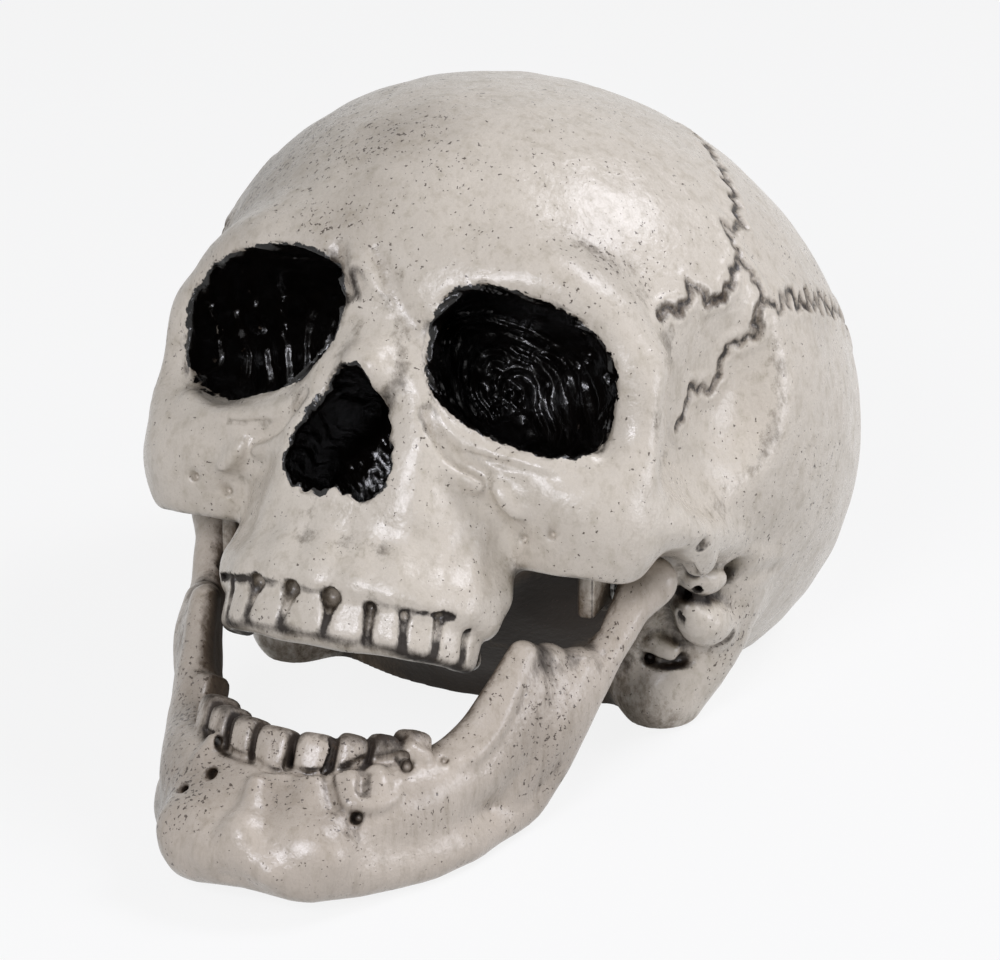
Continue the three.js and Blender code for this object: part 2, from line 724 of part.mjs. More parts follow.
function screwGeometry() {
  const head = screwHeadHeight - seamGap;
  const tip = screwRadius / 2;
  const outline = [[0, 0], [screwHeadRadius, 0], [screwHeadRadius, head / 2], [screwRadius * 1.4, head],
    [screwRadius, head], [screwRadius, screwLength - tip], [tip, screwLength], [0, screwLength]];
  const shape = new THREE.LatheGeometry(outline.map(([r, h]) => new THREE.Vector2(r, h)), roundSides);
  shape.rotateX(Math.PI / 2);
  return shape;
}

function pinSolid(side) {
  const neck = pinRadius - pinGrooveDepth;
  const end = barAcross(pinRadius, side * pinInner, side * (clipInner - runningGap), pivotY, pivotZ);
  const groove = barAcross(neck, side * pinInner, side * bushOuter, pivotY, pivotZ);
  const shank = barAcross(pinRadius, side * (clipOuter + runningGap / 2), side * bushOuter, pivotY, pivotZ);
  return union([end, groove, shank]);
}

function ring(outer, inner, from, to) {
  const hole = barAcross(inner, from - runningGap, to + runningGap, pivotY, pivotZ);
  return barAcross(outer, from, to, pivotY, pivotZ).subtract(hole);
}

function clipSolid(side) {
  const [from, to] = [side * clipInner, side * clipOuter].sort((a, b) => a - b);
  const neck = pinRadius - pinGrooveDepth + runningGap;
  const mouth = box([from - seamGap, pivotY - neck, pivotZ - 2 * clipRadius], [to + seamGap, pivotY + neck, pivotZ]);
  return ring(clipRadius, neck, from, to).subtract(mouth);
}

function jawSolid() {
  const drawn = surfaceOf(jawForm, jawLow, jawHigh, jawCell);
  const body = tilted(thinned(drawn, jawFaces)).translate([0, 0, jawLiftShare * unit]);
  let jaw = body;
  for (const side of [1, -1]) {
    const [from, to] = [0, side * condyleInner].sort((a, b) => a - b);
    const reach = 2 * lugRadius;
    const room = box([from, pivotY - reach, pivotZ - reach], [to, pivotY + reach, pivotZ + reach]);
    jaw = jaw.subtract(room);
    const socketEnd = side * (bushOuter + seamGap);
    jaw = jaw.subtract(barAcross(socketRadius, 0, socketEnd, pivotY, pivotZ));
  }
  return jaw;
}

// Materials, coloured as painted.
const bonePaint = new THREE.MeshStandardMaterial({ color: 0xc2b8af, roughness: 0.42, metalness: 0 });
const jawPaint = new THREE.MeshStandardMaterial({ color: 0xada39b, roughness: 0.45, metalness: 0 });
const basePaint = new THREE.MeshStandardMaterial({ color: 0x9a9389, roughness: 0.5, metalness: 0 });
const steel = new THREE.MeshStandardMaterial({ color: 0xa8a8a4, roughness: 0.35, metalness: 1 });
const nylon = new THREE.MeshStandardMaterial({ color: 0xe6e3da, roughness: 0.5, metalness: 0 });

const skull = new THREE.Group();
function addPiece(name, geometry, material) {
  const mesh = new THREE.Mesh(geometry, material);
  mesh.name = name;
  skull.add(mesh);
  return mesh;
}

addPiece('cranium_shell', geometryOf(craniumShell()), bonePaint);
addPiece('skull_base', geometryOf(skullBase()), basePaint);
screwPlaces().forEach(([x, y], index) => {
  const screw = addPiece(`base_screw_${index + 1}`, screwGeometry(), steel);
  screw.position.set(x, y, seamGap);
});
addPiece('jaw', geometryOf(jawSolid()), jawPaint);
for (const [word, side] of [['left', 1], ['right', -1]]) {
  const [washerFrom, washerTo] = [side * washerInner, side * (washerInner + washerThickness)].sort((a, b) => a - b);
  const [bushFrom, bushTo] = [side * bushInner, side * bushOuter].sort((a, b) => a - b);
  addPiece(`pivot_pin_${word}`, geometryOf(pinSolid(side)), steel);
  addPiece(`pin_clip_${word}`, geometryOf(clipSolid(side)), steel);
  addPiece(`friction_washer_${word}`, geometryOf(ring(washerRadius, boreRadius, washerFrom, washerTo)), steel);
  addPiece(`jaw_bush_${word}`, geometryOf(ring(bushRadius, boreRadius, bushFrom, bushTo)), nylon);
}

// The origin lies under the middle of the whole skull, on the table.
const bounds = new THREE.Box3().setFromObject(skull);
skull.position.set(-(bounds.min.x + bounds.max.x) / 2, -(bounds.min.y + bounds.max.y) / 2, -bounds.min.z);

export default skull;
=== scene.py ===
# %% [markdown]
# # A moulded plastic skull for the shelf
# The object is a life-size hollow skull of painted plastic, tilted back on a
# flat underside, with a lower jaw that hangs open on two pins. This lesson
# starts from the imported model, grows finer surfaces over the large mouldings,
# paints them as they are painted in the workshop, and lights them softly.

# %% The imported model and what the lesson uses
import json
import math
from concurrent.futures import ThreadPoolExecutor

import bpy
import numpy as np
import openvdb
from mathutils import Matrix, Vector


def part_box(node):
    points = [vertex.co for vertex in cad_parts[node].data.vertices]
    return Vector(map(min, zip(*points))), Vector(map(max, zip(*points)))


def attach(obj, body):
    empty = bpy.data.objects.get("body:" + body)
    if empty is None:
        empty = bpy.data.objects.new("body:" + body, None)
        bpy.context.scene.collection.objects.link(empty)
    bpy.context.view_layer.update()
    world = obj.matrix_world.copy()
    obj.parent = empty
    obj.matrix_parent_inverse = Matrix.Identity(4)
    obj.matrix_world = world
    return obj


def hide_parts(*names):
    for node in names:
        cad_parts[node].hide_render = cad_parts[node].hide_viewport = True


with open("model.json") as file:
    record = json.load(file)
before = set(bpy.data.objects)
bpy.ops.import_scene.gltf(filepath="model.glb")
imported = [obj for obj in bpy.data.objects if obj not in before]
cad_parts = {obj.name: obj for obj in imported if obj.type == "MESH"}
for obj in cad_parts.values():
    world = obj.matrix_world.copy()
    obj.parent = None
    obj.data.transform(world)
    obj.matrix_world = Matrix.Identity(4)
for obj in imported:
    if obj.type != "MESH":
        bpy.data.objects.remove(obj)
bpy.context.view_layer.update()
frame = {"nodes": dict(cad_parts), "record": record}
print("nodes:", sorted(frame["nodes"]))


def placed(name, data):
    """A new object in the scene."""
    thing = bpy.data.objects.new(name, data)
    bpy.context.scene.collection.objects.link(thing)
    return thing


# %% [markdown]
# ## How the head stands
# A skull is easiest to describe upright, with the middle of the head at the
# origin, in shares of 100 mm: x to the skull's left, y to the back, z up. The
# real moulding leans back by 32 degrees on its cut underside. The hinge is
# known in both frames, so it fixes how one is laid on the other.

# %% From shares to the model's millimetres
SHARE = 100.0
LEAN = math.radians(32)
# the middle of the jaw's knuckle in shares, which lies on the hinge
CONDYLE = (0.535, -0.36, -0.19)

hinge = next(j for j in frame["record"]["behaviour"]["joints"] if j["name"] == "jaw_hinge")
HINGE_Y, HINGE_Z = (1000 * value for value in hinge["pos_m"][1:])
SHIFT_Y = HINGE_Y - SHARE * (CONDYLE[1] * math.cos(LEAN) + CONDYLE[2] * math.sin(LEAN))
SHIFT_Z = HINGE_Z - SHARE * (CONDYLE[2] * math.cos(LEAN) - CONDYLE[1] * math.sin(LEAN))


def upright(points):
    """Row-frame millimetres to upright shares, as three arrays."""
    y = points[:, 1] - SHIFT_Y
    z = points[:, 2] - SHIFT_Z
    return (
        points[:, 0] / SHARE,
        (y * math.cos(LEAN) - z * math.sin(LEAN)) / SHARE,
        (z * math.cos(LEAN) + y * math.sin(LEAN)) / SHARE,
    )


print("the middle of the head lies", round(SHIFT_Z, 2), "mm over the table")

# %% [markdown]
# ## Clay that is only a rule
# Bone has no edges to draw from, so the form is a rule that gives, for any
# point, how far it is from the surface: negative inside, positive outside.
# Masses and ridges are joined softly, as thumbs smear clay, and hollows are
# carved with the same softness.

# %% Soft joins and the three simple bodies
def join(a, b, softness):
    nearness = np.maximum(softness - np.abs(a - b), 0)
    return np.minimum(a, b) - nearness * nearness / (4 * softness)


def trim(a, b, softness):
    return -join(-a, -b, softness)


def carve(a, b, softness):
    return trim(a, -b, softness)


def egg(x, y, z, centre, radii, lean=0.0):
    cos, sin = math.cos(lean), math.sin(lean)
    dx = x - centre[0]
    dy = (y - centre[1]) * cos - (z - centre[2]) * sin
    dz = (y - centre[1]) * sin + (z - centre[2]) * cos
    near = np.sqrt((dx / radii[0]) ** 2 + (dy / radii[1]) ** 2 + (dz / radii[2]) ** 2)
    steep = np.sqrt((dx / radii[0] ** 2) ** 2 + (dy / radii[1] ** 2) ** 2 + (dz / radii[2] ** 2) ** 2)
    return near * (near - 1) / np.maximum(steep, 1e-6)


def bent(stops, parts=4):
    """More stops on a smooth curve through the given ones."""
    ends = [2 * np.array(stops[0]) - stops[1], 2 * np.array(stops[-1]) - stops[-2]]
    rows = [ends[0], *map(np.array, stops), ends[1]]
    curve = []
    for a, b, c, d in zip(rows, rows[1:], rows[2:], rows[3:]):
        for t in np.arange(parts) / parts:
            curve.append(0.5 * (2 * b + (c - a) * t + (2 * a - 5 * b + 4 * c - d) * t ** 2
                                + (3 * b - 3 * c + d - a) * t ** 3))
    return [tuple(row) for row in curve] + [tuple(rows[-2])]


def strand(x, y, z, stops):
    """A chain of tapered rods through stops of x, y, z and radius."""
    best = np.full(x.shape, 9.0, dtype=x.dtype)
    for (ax, ay, az, ar), (bx, by, bz, br) in zip(stops, stops[1:]):
        ex, ey, ez = bx - ax, by - ay, bz - az
        along = ((x - ax) * ex + (y - ay) * ey + (z - az) * ez) / (ex * ex + ey * ey + ez * ez)
        along = np.clip(along, 0, 1)
        reach = (x - ax - along * ex) ** 2 + (y - ay - along * ey) ** 2 + (z - az - along * ez) ** 2
        best = np.minimum(best, np.sqrt(reach) - ar - along * (br - ar))
    return best


def block(u, v, w, radii, power):
    total = np.abs(u / radii[0]) ** power + np.abs(v / radii[1]) ** power + np.abs(w / radii[2]) ** power
    return (total ** (1 / power) - 1) * min(radii)


print("a join as soft as 0.1 adds", round(-float(join(0.0, 0.0, 0.1)), 3), "where two skins cross")

# %% [markdown]
# ## The head
# The braincase is one big leaning egg. Smaller eggs make the face, the cheeks
# and the underside, and chains of rods lay the ridges of bone over them. The
# eye sockets, the nose and the hollows beside them are carved last, because a
# carved edge stays sharper than a joined one.

# %% Masses, ridges and hollows of the head
MASSES = [
    ((0, 0.07, 0.275), (0.775, 1.005, 0.7), 0.01, 0.17),
    ((0, -0.45, 0.14), (0.46, 0.38, 0.3), 0.1, 0.0),
    ((0, -0.62, -0.13), (0.3, 0.27, 0.34), 0.1, 0.0),
    ((0.44, -0.6, -0.11), (0.18, 0.15, 0.17), 0.08, 0.0),
    ((0.5, -0.36, -0.01), (0.145, 0.3, 0.13), 0.06, 0.0),
    ((0, 0.32, -0.35), (0.5, 0.28, 0.35), 0.1, 0.0),
]
RIDGES = {
    "brow": (
        [(0.05, -0.825, 0.3, 0.05), (0.17, -0.835, 0.345, 0.055), (0.33, -0.83, 0.37, 0.055),
         (0.455, -0.76, 0.32, 0.055), (0.53, -0.68, 0.21, 0.055)], 0.13),
    "socket rim": (
        [(0.535, -0.68, 0.21, 0.055), (0.55, -0.66, 0.08, 0.06), (0.52, -0.68, -0.02, 0.07),
         (0.42, -0.72, -0.07, 0.07), (0.28, -0.77, -0.02, 0.055), (0.15, -0.8, 0.06, 0.04)], 0.09),
    "nose side": (
        [(0.06, -0.82, 0.27, 0.05), (0.085, -0.86, 0.12, 0.05), (0.125, -0.85, -0.02, 0.06),
         (0.13, -0.81, -0.16, 0.08)], 0.05),
    "nose bridge": ([(0, -0.8, 0.27, 0.06), (0, -0.86, 0.18, 0.055), (0.01, -0.925, 0.11, 0.055)], 0.05),
    "nose wing": ([(0.05, -0.82, 0.2, 0.05), (0.08, -0.85, 0.11, 0.055)], 0.04),
    "cheek arch": (
        [(0.5, -0.66, -0.09, 0.08), (0.61, -0.52, -0.06, 0.06), (0.635, -0.34, -0.05, 0.045),
         (0.62, -0.18, -0.03, 0.04), (0.58, -0.02, 0, 0.04)], 0.05),
    "mastoid": ([(0.57, 0, -0.05, 0.09), (0.53, 0.06, -0.2, 0.12), (0.47, 0.06, -0.36, 0.11)], 0.08),
}
HOLLOWS = {
    "temple": ((0.7, -0.5, 0.22), (0.13, 0.22, 0.24), 0.08),
    "under the cheek": ((0.44, -0.47, -0.36), (0.2, 0.25, 0.2), 0.04),
    "beside the nose": ((0.28, -0.93, -0.1), (0.07, 0.12, 0.1), 0.06),
}
UPPER_GAPS = [
    # the lines between the crowns, from the right to the left: gum, middle, edge, width at the gum
    ((-0.303, -0.69, -0.375), (-0.303, -0.69, -0.42), (-0.303, -0.69, -0.46), 0.008),
    ((-0.29, -0.76, -0.385), (-0.29, -0.755, -0.43), (-0.292, -0.75, -0.47), 0.009),
    ((-0.233, -0.85, -0.385), (-0.238, -0.846, -0.43), (-0.243, -0.84, -0.475), 0.012),
    ((-0.156, -0.894, -0.388), (-0.168, -0.89, -0.43), (-0.184, -0.885, -0.48), 0.02),
    ((-0.066, -0.916, -0.392), (-0.074, -0.917, -0.435), (-0.086, -0.916, -0.482), 0.02),
    ((0.028, -0.917, -0.396), (0.03, -0.92, -0.44), (0.022, -0.92, -0.486), 0.022),
    ((0.116, -0.904, -0.402), (0.12, -0.904, -0.44), (0.124, -0.898, -0.488), 0.011),
    ((0.19, -0.887, -0.405), (0.194, -0.884, -0.44), (0.199, -0.876, -0.482), 0.011),
    ((0.251, -0.843, -0.392), (0.255, -0.84, -0.43), (0.257, -0.834, -0.475), 0.012),
    ((0.29, -0.77, -0.385), (0.292, -0.768, -0.43), (0.294, -0.76, -0.468), 0.009),
    ((0.303, -0.69, -0.375), (0.303, -0.69, -0.42), (0.303, -0.69, -0.46), 0.008),
]
BITE = [
    (0, -0.885, -0.482, 0.022), (0.1, -0.877, -0.48, 0.022), (0.19, -0.84, -0.472, 0.022),
    (0.26, -0.765, -0.465, 0.022), (0.28, -0.68, -0.455, 0.024),
]
GUM = [
    (0, -0.89, -0.34, 0.04), (0.1, -0.882, -0.345, 0.04), (0.2, -0.84, -0.347, 0.04),
    (0.27, -0.76, -0.33, 0.04), (0.295, -0.67, -0.31, 0.04),
]
print(len(MASSES), "masses,", len(RIDGES), "ridges,", len(HOLLOWS), "hollows")


# %% [markdown]
# ## Sockets, nose and teeth
# The sockets of the moulding are deep rounded boxes that slant outwards, the
# nose is a torn pear, and the teeth are crowns between dark gaps. A Boolean
# with a rounded cube could cut the sockets, but it leaves a sharp crease that
# has to be bevelled again. A power of the distances gives the same rounded
# box, and carving it softly rounds the rim in one go. The crowns are measured
# from the gaps between them, because the gaps are what the eye sees first.

# %% The eye sockets, the nose opening and the upper jaw
SOCKET = (0.315, -0.83, 0.165)
SOCKET_TURN = 0.3
SOCKET_HALF = (0.2, 0.42, 0.152)
SOCKET_POWER = 2.7


def socket_axes(x, y, z):
    """Across, into and up the nearer socket; the right one sits higher."""
    right = (x < 0).astype(x.dtype)
    dx, dy = np.abs(x) - SOCKET[0], y - SOCKET[1]
    across = dx * math.cos(SOCKET_TURN) + dy * math.sin(SOCKET_TURN)
    inward = dy * math.cos(SOCKET_TURN) - dx * math.sin(SOCKET_TURN)
    return right, across, inward, z - SOCKET[2] - 0.028 * right + 0.18 * dx


def eye_socket(x, y, z):
    right, u, v, w = socket_axes(x, y, z)
    wide, deep, tall = SOCKET_HALF
    total = np.abs(u / (wide + 0.02 * right)) ** SOCKET_POWER
    total = total + np.abs(v / deep) ** SOCKET_POWER + np.abs(w / tall) ** SOCKET_POWER
    return (total ** (1 / SOCKET_POWER) - 1) * tall


def nose_opening(x, y, z):
    spread = np.where(x < 0, 1.2, 1.0).astype(x.dtype)
    flat = np.zeros_like(x)
    outline = [(0, 0, 0.055, 0.045), (0.025, 0, -0.03, 0.06), (0.05, 0, -0.105, 0.062)]
    hole = strand(np.abs(x + 0.02) / spread, flat, z, outline)
    lobe = strand(x, flat, z, [(-0.1, 0, -0.11, 0.034), (-0.135, 0, -0.122, 0.024)])
    # the paint's edge in the nose is torn
    torn = 0.006 * np.sin(78 * z + 6 * np.sin(31 * x)) * np.sin(37 * z + 11 * x + 2)
    return trim(join(hole, lobe, 0.01) + torn, y + 0.55, 0.06)


def upper_jaw(x, y, z):
    width = 0.325 - 0.12 * (z + 0.36)
    power = 2.6
    total = np.abs(x / width) ** power + np.abs((y + 0.51) / 0.38) ** power
    plan = (total ** (1 / power) - 1) * width
    capped = trim(trim(plan, z + 0.05, 0.06), -0.385 - z, 0.06)
    return trim(capped, y + 0.58 - 0.3 * (z + 0.385), 0.06)


def tooth(x, y, z, place, half_height, way, taper=0.0, depth=0.045):
    """A crown that is widest at its biting edge."""
    px, py, turn, half_width, end = place
    u = (x - px) * math.cos(turn) + (y - py) * math.sin(turn)
    v = (y - py) * math.cos(turn) - (x - px) * math.sin(turn)
    w = z - end - way * half_height
    narrow = 1 - taper * np.clip(way * w / half_height, -1, 1)
    return block(u / narrow, v, w, (half_width, depth, half_height), 4)


CROWN_DEPTH = 0.04
CROWN_EDGE = -0.488


def crown(x, y, z, first, second):
    """The crown between two gap lines: narrow at the gum, wide at the edge."""
    (ax, ay, _), (bx, by, _) = first[1], second[1]
    turn = math.atan2(by - ay, bx - ax)
    width = math.hypot(bx - ax, by - ay) / 2 - 0.001
    # the gap lines lie on the crown's face, and its middle is behind it
    middle = ((ax + bx) / 2 - 0.034 * math.sin(turn), (ay + by) / 2 + 0.034 * math.cos(turn))
    taper = 0.22 + 6 * second[3]
    return tooth(x, y, z, (*middle, turn, width, CROWN_EDGE), 0.066, 1, taper, CROWN_DEPTH)


def gap(first, middle, last, width):
    """A cut that is a dark triangle at the gum and a thin line at the edge."""
    return [(*first, width), (*[0.6 * a + 0.4 * b for a, b in zip(first, middle)], 0.6 * width),
            (*middle, 0.007), (*last, 0.0045)]


print(len(UPPER_GAPS) - 1, "upper crowns between", len(UPPER_GAPS), "gaps")

# %% [markdown]
# ## Knobs, pits and creases
# Behind the cheek and under the eyes the sculptor left knobs, pits and creases
# of 1 to 5 mm. They could be pressed in with the sculpting brushes, or come
# from a displacement texture. Here each is a short chain of rods that is
# joined or carved only where it lies, so a feature can be moved by changing
# one number, and it costs next to nothing.

# %% Small features of the head
def near(x, y, z, stops, reach):
    """The points close to a chain of stops, so that the others cost nothing."""
    close = np.ones(x.shape, dtype=bool)
    for values, least, most in zip((x, y, z), np.min(stops, 0), np.max(stops, 0)):
        close &= (values > least - reach) & (values < most + reach)
    return np.flatnonzero(close)


def worked(form, x, y, z, chains, by=join):
    """Adds small ridges to the form, or cuts small grooves into it."""
    for stops, softness in chains:
        spots = near(x, y, z, stops, 0.16 + softness)
        if len(spots):
            form[spots] = by(form[spots], strand(x[spots], y[spots], z[spots], bent(stops, 3)), softness)
    return form


HEAD_BUMPS = {
    # both sides of the head: stops of x, y, z and radius, then the softness
    "end of the cheek arch": (
        [(0.635, -0.42, -0.075, 0.045), (0.63, -0.34, -0.1, 0.042), (0.61, -0.28, -0.11, 0.03)], 0.015),
    "ear knob": (
        [(0.585, -0.215, -0.13, 0.034), (0.605, -0.18, -0.128, 0.038), (0.62, -0.155, -0.12, 0.026)], 0.01),
    "ear drum": ([(0.57, -0.16, -0.2, 0.035), (0.59, -0.1, -0.215, 0.056), (0.6, -0.03, -0.215, 0.05)], 0.03),
    "low bump": ([(0.475, -0.075, -0.28, 0.03), (0.51, -0.05, -0.288, 0.032)], 0.012),
    "root of the arch": (
        [(0.64, -0.1, -0.045, 0.03), (0.66, 0.0, -0.02, 0.03), (0.665, 0.12, 0.0, 0.02)], 0.03),
    "rim of the socket": (
        [(0.15, -0.865, 0.03, 0.01), (0.22, -0.84, -0.005, 0.013), (0.3, -0.82, -0.022, 0.014),
         (0.4, -0.79, -0.025, 0.014), (0.48, -0.755, 0.01, 0.01)], 0.04),
    "fold under the eye": (
        [(0.21, -0.845, -0.065, 0.01), (0.26, -0.822, -0.085, 0.014), (0.31, -0.805, -0.1, 0.014),
         (0.345, -0.785, -0.135, 0.01)], 0.05),
    "outer edge of the brow": (
        [(0.5, -0.735, 0.33, 0.012), (0.545, -0.69, 0.24, 0.018), (0.575, -0.655, 0.13, 0.018),
         (0.585, -0.64, 0.04, 0.012)], 0.03),
}
HEAD_GROOVES = {
    "ear hole": ([(0.7, -0.115, -0.085, 0.034), (0.6, -0.11, -0.095, 0.024)], 0.02),
    "tail of the ear": (
        [(0.68, -0.07, -0.105, 0.012), (0.7, -0.02, -0.075, 0.01), (0.71, 0.05, -0.045, 0.004)], 0.03),
    "dimple of the arch": ([(0.7, -0.45, -0.085, 0.012), (0.665, -0.44, -0.088, 0.01)], 0.016),
    "second dimple": ([(0.61, -0.335, -0.15, 0.012), (0.605, -0.33, -0.125, 0.008)], 0.012),
    "fold of the arch": (
        [(0.63, -0.68, -0.08, 0.005), (0.64, -0.645, -0.11, 0.008), (0.64, -0.61, -0.135, 0.006)], 0.02),
    "knob pit one": ([(0.545, -0.225, -0.175, 0.009), (0.555, -0.19, -0.16, 0.008)], 0.008),
    "knob pit two": ([(0.568, -0.2, -0.178, 0.011), (0.575, -0.165, -0.162, 0.01)], 0.008),
    "knob pit three": ([(0.6, -0.215, -0.158, 0.009), (0.6, -0.18, -0.145, 0.008)], 0.008),
    "drum crease": (
        [(0.58, -0.175, -0.18, 0.004), (0.568, -0.178, -0.215, 0.006), (0.558, -0.15, -0.26, 0.005)], 0.012),
    "groove under the drum": (
        [(0.49, -0.055, -0.322, 0.01), (0.535, -0.035, -0.305, 0.012), (0.6, -0.06, -0.282, 0.011),
         (0.645, -0.035, -0.23, 0.006)], 0.02),
    "hole behind the jaw": ([(0.475, -0.075, -0.322, 0.015), (0.46, -0.03, -0.31, 0.012)], 0.01),
    "crease under the eye": (
        [(0.15, -0.9, 0.035, 0.003), (0.175, -0.885, -0.005, 0.006), (0.221, -0.85, -0.05, 0.008),
         (0.28, -0.825, -0.075, 0.005), (0.3, -0.8, -0.135, 0.006), (0.35, -0.77, -0.165, 0.007),
         (0.385, -0.745, -0.2, 0.004)], 0.03),
    "second crease": (
        [(0.24, -0.845, -0.028, 0.004), (0.3, -0.828, -0.036, 0.006), (0.37, -0.82, -0.042, 0.004),
         (0.43, -0.8, -0.05, 0.003)], 0.012),
    "cheek hole": ([(0.362, -0.75, -0.179, 0.009), (0.36, -0.71, -0.175, 0.008)], 0.02),
    "second cheek hole": ([(0.434, -0.775, -0.162, 0.007), (0.43, -0.74, -0.16, 0.006)], 0.02),
    "line over the gum": (
        [(0.04, -0.937, -0.385, 0.002), (0.1, -0.928, -0.392, 0.003), (0.19, -0.898, -0.395, 0.003),
         (0.255, -0.848, -0.385, 0.003), (0.3, -0.763, -0.375, 0.003)], 0.01),
}
BROW_FOLDS = {
    # between the brows, where the two sides differ
    "right crease": (
        [(-0.125, -0.935, 0.36, 0.003), (-0.11, -0.932, 0.31, 0.006), (-0.085, -0.922, 0.27, 0.003)], 0.04),
    "left crease": (
        [(-0.03, -0.94, 0.36, 0.003), (0.01, -0.94, 0.31, 0.005), (0.045, -0.936, 0.26, 0.006),
         (0.085, -0.925, 0.22, 0.003)], 0.04),
    "short crease": (
        [(-0.07, -0.935, 0.31, 0.003), (-0.05, -0.935, 0.275, 0.006), (-0.01, -0.935, 0.25, 0.003)], 0.03),
    "gum line right": (
        [(-0.29, -0.793, -0.375, 0.002), (-0.224, -0.868, -0.382, 0.003), (-0.157, -0.908, -0.385, 0.003),
         (-0.075, -0.928, -0.39, 0.003), (0.03, -0.933, -0.392, 0.003)], 0.01),
}


print(len(HEAD_BUMPS), "bumps,", len(HEAD_GROOVES) + len(BROW_FOLDS), "pits and creases")


# %% The whole head in shares, still without its seams
def plain_head(x, y, z):
    side = np.abs(x)
    form = np.full(x.shape, 9.0, dtype=x.dtype)
    for centre, radii, softness, lean in MASSES:
        form = join(form, egg(side, y, z, centre, radii, lean), softness)
    form = join(form, upper_jaw(side, y, z), 0.07)
    for stops, softness in RIDGES.values():
        form = join(form, strand(side, y, z, bent(stops)), softness)
    for centre, radii, softness in HOLLOWS.values():
        form = carve(form, egg(side, y, z, centre, radii), softness)
    form = carve(form, eye_socket(x, y, z), 0.025)
    form = carve(form, nose_opening(x, y, z), 0.02)
    form = join(form, strand(side, y, z, bent(GUM)), 0.05)
    form = join(form, strand(side, y, z, bent(BITE)), 0.02)
    for left, right in zip(UPPER_GAPS, UPPER_GAPS[1:]):
        cx, cy = (left[0][0] + right[0][0]) / 2, (left[0][1] + right[0][1]) / 2
        root = [
            (cx * 0.97, cy + 0.028, -0.37, 0.04),
            (cx * 0.95, cy + 0.04, -0.28, 0.024),
            (cx * 0.9, cy + 0.07, -0.18, 0.01),
        ]
        form = join(form, strand(x, y, z, root), 0.05)
        form = join(form, crown(x, y, z, left, right), 0.006)
    form = worked(form, x, y, z, [(gap(*line), 0.006) for line in UPPER_GAPS], carve)
    form = worked(form, side, y, z, HEAD_BUMPS.values())
    form = worked(form, side, y, z, HEAD_GROOVES.values(), carve)
    return worked(form, x, y, z, BROW_FOLDS.values(), carve)


print("the origin lies", round(-float(plain_head(*np.zeros((3, 1)))[0]), 2), "shares under the skin")

# %% [markdown]
# ## Seams between the plates of bone
# A real skull's plates meet in wandering seams, and the moulding copies them as
# a crack with a raised lip on either side. The line is laid through a few
# places, made to wander by a sum of waves, and brought down onto the skin.

# %% The seams' lines
SEAMS = {
    "front": (
        [(0.35, -0.2, 0.9), (0.42, -0.25, 0.85), (0.479, -0.301, 0.796), (0.542, -0.351, 0.719),
         (0.583, -0.383, 0.652), (0.574, -0.451, 0.619), (0.596, -0.435, 0.595),
         (0.615, -0.425, 0.572)], 0.012),
    "forehead": (
        [(0.615, -0.425, 0.572), (0.615, -0.465, 0.525), (0.618, -0.482, 0.477), (0.606, -0.506, 0.444),
         (0.592, -0.544, 0.444), (0.567, -0.584, 0.463), (0.569, -0.593, 0.422), (0.559, -0.616, 0.385),
         (0.538, -0.654, 0.382), (0.539, -0.675, 0.357)], 0.008),
    "side": (
        [(0.615, -0.425, 0.572), (0.643, -0.396, 0.532), (0.669, -0.366, 0.492),
         (0.684, -0.321, 0.491)], 0.008),
    "rear": (
        [(0.684, -0.321, 0.491), (0.689, -0.25, 0.533), (0.705, -0.177, 0.532), (0.701, -0.063, 0.571),
         (0.704, 0.043, 0.571), (0.682, 0.196, 0.588), (0.62, 0.4, 0.57), (0.5, 0.62, 0.56),
         (0.3, 0.83, 0.57), (0.12, 0.94, 0.62), (0.0, 0.95, 0.68)], 0.018),
    "temple": (
        [(0.67, -0.366, 0.483), (0.659, -0.386, 0.451), (0.667, -0.36, 0.423), (0.655, -0.36, 0.401),
         (0.628, -0.385, 0.382), (0.61, -0.403, 0.359), (0.605, -0.387, 0.327), (0.6, -0.375, 0.289),
         (0.589, -0.394, 0.267), (0.572, -0.467, 0.25), (0.571, -0.467, 0.223), (0.571, -0.465, 0.198),
         (0.567, -0.491, 0.152)], 0.007),
}


def slope(points, step=0.01):
    here = plain_head(*points.T)
    rise = [plain_head(*(points + step * axis).T) - here for axis in np.eye(3)]
    return here, np.stack(rise, -1) / step


def wandering(stops, swing):
    """A finer chain through the stops that swings from side to side on the skin."""
    points = np.array([row[:3] for row in bent([(*stop, 0) for stop in stops], 1)])
    length = np.concatenate([[0], np.cumsum(np.linalg.norm(np.diff(points, axis=0), axis=1))])
    spots = np.arange(0, length[-1], 0.012)
    line = np.stack([np.interp(spots, length, points[:, i]) for i in range(3)], -1)
    _, out = slope(line)
    ahead = np.gradient(line, axis=0)
    across = np.cross(ahead, out)
    across /= np.linalg.norm(across, axis=1)[:, None]
    wave = np.sin(spots * 128) + 0.6 * np.sin(spots * 301 + 1.7) + 0.5 * np.sin(spots * 57 + 0.6)
    line += across * (swing * wave * np.minimum(1, (length[-1] - spots) / 0.05))[:, None]
    for _ in range(4):
        here, out = slope(line)
        line -= out * (here / np.maximum((out ** 2).sum(1), 0.25))[:, None]
    return [(*point, 0.0) for point in line]


SEAM_RUNS = []
for stops, swing in SEAMS.values():
    line = wandering(stops, swing)
    SEAM_RUNS += [line[i:i + 9] for i in range(0, len(line) - 1, 8)]
print(len(SEAM_RUNS), "short runs of seam")


def from_seam(x, y, z):
    """How far a point is from the nearest seam, up to one share."""
    reach = np.ones_like(x)
    for run in SEAM_RUNS:
        spots = near(np.abs(x), y, z, run, 0.06)
        if len(spots):
            reach[spots] = np.minimum(reach[spots], strand(np.abs(x)[spots], y[spots], z[spots], run))
    return reach


